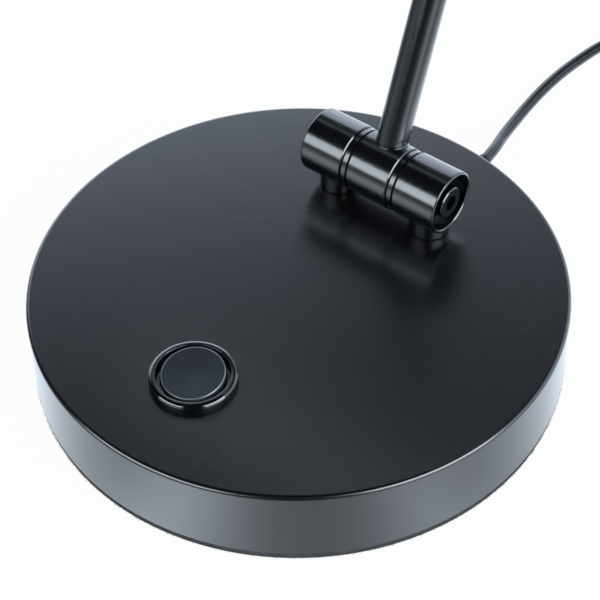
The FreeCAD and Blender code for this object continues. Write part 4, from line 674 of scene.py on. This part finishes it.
def cap_screws():
    """The pan-head screws of the end caps, each with a rounded edge and a cross recess."""
    blanks = bmesh.new()
    crosses = bmesh.new()
    for side in (-1, 1):
        for y, z, angle in CAP_SCREWS:
            facing = Vector((side, 0, 0)).to_track_quat("Z", "Y").to_matrix().to_4x4()
            place = (Matrix.Translation(Vector((side * CAP_FACE, y, z))) @ facing
                     @ Matrix.Rotation(math.radians(angle * side), 4, "Z"))
            screw = lathe("screw", screw_profile(), SCREW_SEGMENTS)
            screw.transform(place)
            blanks.from_mesh(screw)
            add_cross(crosses, place)
    for shape in (blanks, crosses):
        bmesh.ops.recalc_face_normals(shape, faces=shape.faces)
    mesh = carved(finished(blanks, "cap_screw_blanks"), [("DIFFERENCE", finished(crosses, "tool"))])
    screws = add_piece("cap_screw_heads", "head", smooth(mesh), "plain_steel")
    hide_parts("cap_screws")


def felt_fibres():
    """Loose fibres that stand out of the felt's edge, finer than a hair and all different."""
    verts = []
    faces = []
    for _ in range(FIBRE_COUNT):
        angle = random.uniform(0, 2 * math.pi)
        out = Vector((math.cos(angle), math.sin(angle), 0))
        along = Vector((-out.y, out.x, 0))
        root = out * (FELT_RADIUS - FIBRE_ROOT)
        root.z = random.uniform(*FIBRE_HEIGHTS) * MM
        reach = random.uniform(*FIBRE_REACHES) * MM
        drift = along * random.uniform(-1, 1) * reach * FIBRE_DRIFT
        drift += UP * (random.uniform(-FIBRE_SWAY, FIBRE_SWAY) * reach)
        tip = root + out * reach + drift
        tip.z = min(max(tip.z, FIBRE_LOWEST), FIBRE_HIGHEST)
        middle = (root + tip) / 2 + out * reach * FIBRE_BEND
        width = along * random.uniform(*FIBRE_WIDTHS) * MM
        lift = UP * width.length
        first = len(verts)
        verts += [root - width, root + width, root + lift, middle - width * FIBRE_TAPER,
                  middle + width * FIBRE_TAPER, middle + lift * FIBRE_TAPER, tip]
        faces += [[first + corner for corner in face] for face in FIBRE_FACES]
    mesh = bpy.data.meshes.new("felt_fibres")
    mesh.from_pydata([tuple(v) for v in verts], [], faces)
    add_piece("felt_fibres", "base", mesh, "felt")


base_cover()
foot_bead()
cap_screws()
felt_fibres()


# ---------------------------------------------------------------- floor and light

# What the lamp's gloss sees of the floor, near the lamp and far from it: painted light in the floor's
# emission, a glow all round with brighter pools of light in it. A pool has an azimuth in degrees
# from -Y towards +X, a number that says how narrow it is, and how much it adds. Near goes over into
# far between two radii.
NEAR_GLOW = 0.5
NEAR_POOLS = ((11, 30, 0.9), (66, 45, 0.5), (139, 3, 0.8), (-61, 3, 0.8), (-141, 2, 0.6))
FAR_GLOW = 0.13
FAR_POOLS = ((84, 18, 1.0), (180, 1.5, 1.2), (-36, 10, 0.35))
NEAR_TO_FAR = (0.15, 0.22)
FLOOR_HALF = 12.0
PAPER_SHARE = 0.04

# What the lamp sees of the world: brightness by the Z of the direction, a lit backdrop below a
# dark ceiling. It grows over a range of Y, and over a range of X it falls to a weaker level.
SKY_STOPS = ((0.61, 1.8), (0.645, 0.4), (0.69, 0.07), (0.75, 0.018), (0.88, 0.008), (0.98, 0.004))
BACKDROP_Y = (-0.1, 0.35)
WEAKER_X = (-0.55, -0.3)
WEAKER_TO = (1.0, 0.6)
ROOM_GLOW = 0.012

SKY_TINT = (0.86, 0.98, 1.16, 1)
FLOOR_TINT = (0.9, 1.0, 1.12, 1)
LAMP_TINT = (0.9, 1.0, 1.08)
LAMP_DISTANCE = 1.5


class LightTree(Tree):
    """A tree with short ways to add the nodes that the floor and the world share."""

    def number(self, operation, first, second):
        """The result of an operation on two numbers."""
        return self.node("ShaderNodeMath", {0: first, 1: second}, operation=operation).outputs[0]

    def blend(self, share, first, second):
        """The first number where share is 0, the second where it is 1."""
        rest = self.number("SUBTRACT", 1.0, share)
        return self.number("ADD", self.number("MULTIPLY", first, rest),
                           self.number("MULTIPLY", second, share))

    def step(self, value, source, target=(0.0, 1.0)):
        """A smooth step between two numbers, over a range of the value."""
        return self.map_range(value, source, target, "SMOOTHSTEP")

    def rays(self, *kinds):
        """1 for rays of these kinds, 0 for others."""
        path = self.node("ShaderNodeLightPath")
        result = path.outputs[kinds[0]]
        for kind in kinds[1:]:
            result = self.number("MAXIMUM", result, path.outputs[kind])
        return result

    def pools(self, unit, glow, pools):
        """The glow in the direction of a unit vector, with its pools added."""
        result = glow
        for azimuth, power, amount in pools:
            angle = math.radians(azimuth)
            towards = self.vector("DOT_PRODUCT", unit, (math.sin(angle), -math.cos(angle), 0),
                                  number=True)
            lobe = self.number("POWER", self.number("MAXIMUM", towards, 0.0), power)
            result = self.number("ADD", result, self.number("MULTIPLY", lobe, amount))
        return result

    def painted_floor_glow(self):
        """Painted light in the floor's emission: how bright the floor looks in the lamp's gloss, by
        place.
        """
        place = self.node("ShaderNodeTexCoord").outputs["Object"]
        unit = self.vector("NORMALIZE", place)
        reach = self.vector("LENGTH", place, number=True)
        near = self.pools(unit, NEAR_GLOW, NEAR_POOLS)
        far = self.pools(unit, FAR_GLOW, FAR_POOLS)
        return self.blend(self.step(reach, NEAR_TO_FAR), near, far)


def make_floor():
    """A white sweep that keeps a faint shadow."""
    mesh = bpy.data.meshes.new("floor")
    corners = [(x * FLOOR_HALF, y * FLOOR_HALF, 0) for x, y in ((-1, -1), (1, -1), (1, 1), (-1, 1))]
    mesh.from_pydata(corners, [], [(0, 1, 2, 3)])
    floor = bpy.data.objects.new("floor", mesh)
    bpy.context.scene.collection.objects.link(floor)
    material = bpy.data.materials.new("floor_paper")
    material.use_nodes = True
    lights = LightTree(material.node_tree)
    paper = lights.tree.nodes["Principled BSDF"]
    paper.inputs["Base Color"].default_value = (0.9, 0.9, 0.9, 1)
    paper.inputs["Roughness"].default_value = 0.9
    paper.inputs["Specular IOR Level"].default_value = 0.1
    seen_directly = lights.rays("Is Camera Ray")
    # Painted light: what reflections see of the floor is this glow with its pools, put into its emission.
    glow = lights.node("ShaderNodeEmission", {
        "Strength": lights.blend(seen_directly, lights.painted_floor_glow(), 1.0),
        "Color": lights.mix(seen_directly, FLOOR_TINT, WHITE)})
    seen = lights.rays("Is Camera Ray", "Is Glossy Ray", "Is Transmission Ray")
    mix = lights.node("ShaderNodeMixShader", {0: lights.number("MULTIPLY", seen, 1 - PAPER_SHARE),
                                              1: paper.outputs["BSDF"], 2: glow.outputs["Emission"]})
    lights.link(mix.outputs["Shader"], lights.tree.nodes["Material Output"].inputs["Surface"])
    mesh.materials.append(material)


def make_world():
    """A lit backdrop behind the lamp, below a dark ceiling and in front of a dark room."""
    world = bpy.data.worlds.new("studio")
    world.use_nodes = True
    bpy.context.scene.world = world
    lights = LightTree(world.node_tree)
    direction = lights.node("ShaderNodeTexCoord").outputs["Generated"]
    parts = lights.node("ShaderNodeSeparateXYZ", {0: direction})
    sky = lights.node("ShaderNodeValToRGB", {"Fac": parts.outputs["Z"]})
    stops = sky.color_ramp.elements
    while len(stops) < len(SKY_STOPS):
        stops.new(0.5)
    for stop, (height, level) in zip(stops, SKY_STOPS):
        stop.position = height
        stop.color = (level, level, level, 1)
    behind = lights.step(parts.outputs["Y"], BACKDROP_Y)
    sideways = lights.step(parts.outputs["X"], WEAKER_X, WEAKER_TO)
    level = lights.number("MULTIPLY", sky.outputs["Color"],
                          lights.number("MULTIPLY", behind, sideways))
    level = lights.number("ADD", level, ROOM_GLOW)
    seen_directly = lights.rays("Is Camera Ray")
    backdrop = lights.tree.nodes["Background"]
    lights.link(lights.mix(seen_directly, SKY_TINT, WHITE), backdrop.inputs["Color"])
    lights.link(lights.blend(seen_directly, level, 1.0), backdrop.inputs["Strength"])


def soft_box(name, azimuth, elevation, width, height, radiance):
    """A studio lamp that faces the object, with its place and size as angles in degrees."""
    turn = math.radians(azimuth)
    rise = math.radians(elevation)
    data = bpy.data.lights.new(name, "AREA")
    data.shape = "RECTANGLE"
    data.size = 2 * LAMP_DISTANCE * math.tan(math.radians(width / 2))
    data.size_y = 2 * LAMP_DISTANCE * math.tan(math.radians(height / 2))
    data.energy = radiance * math.pi * data.size * data.size_y
    data.color = LAMP_TINT
    lamp = bpy.data.objects.new(name, data)
    bpy.context.scene.collection.objects.link(lamp)
    away = Vector((math.sin(turn) * math.cos(rise), -math.cos(turn) * math.cos(rise), math.sin(rise)))
    lamp.location = away * LAMP_DISTANCE
    lamp.rotation_euler = (-away).to_track_quat("-Z", "Y").to_euler()


make_floor()
make_world()
soft_box("left_box", azimuth=-15, elevation=27, width=50, height=27, radiance=3.9)
soft_box("right_box", azimuth=86, elevation=27, width=46, height=34, radiance=5.0)
bpy.context.scene.view_settings.view_transform = "Standard"
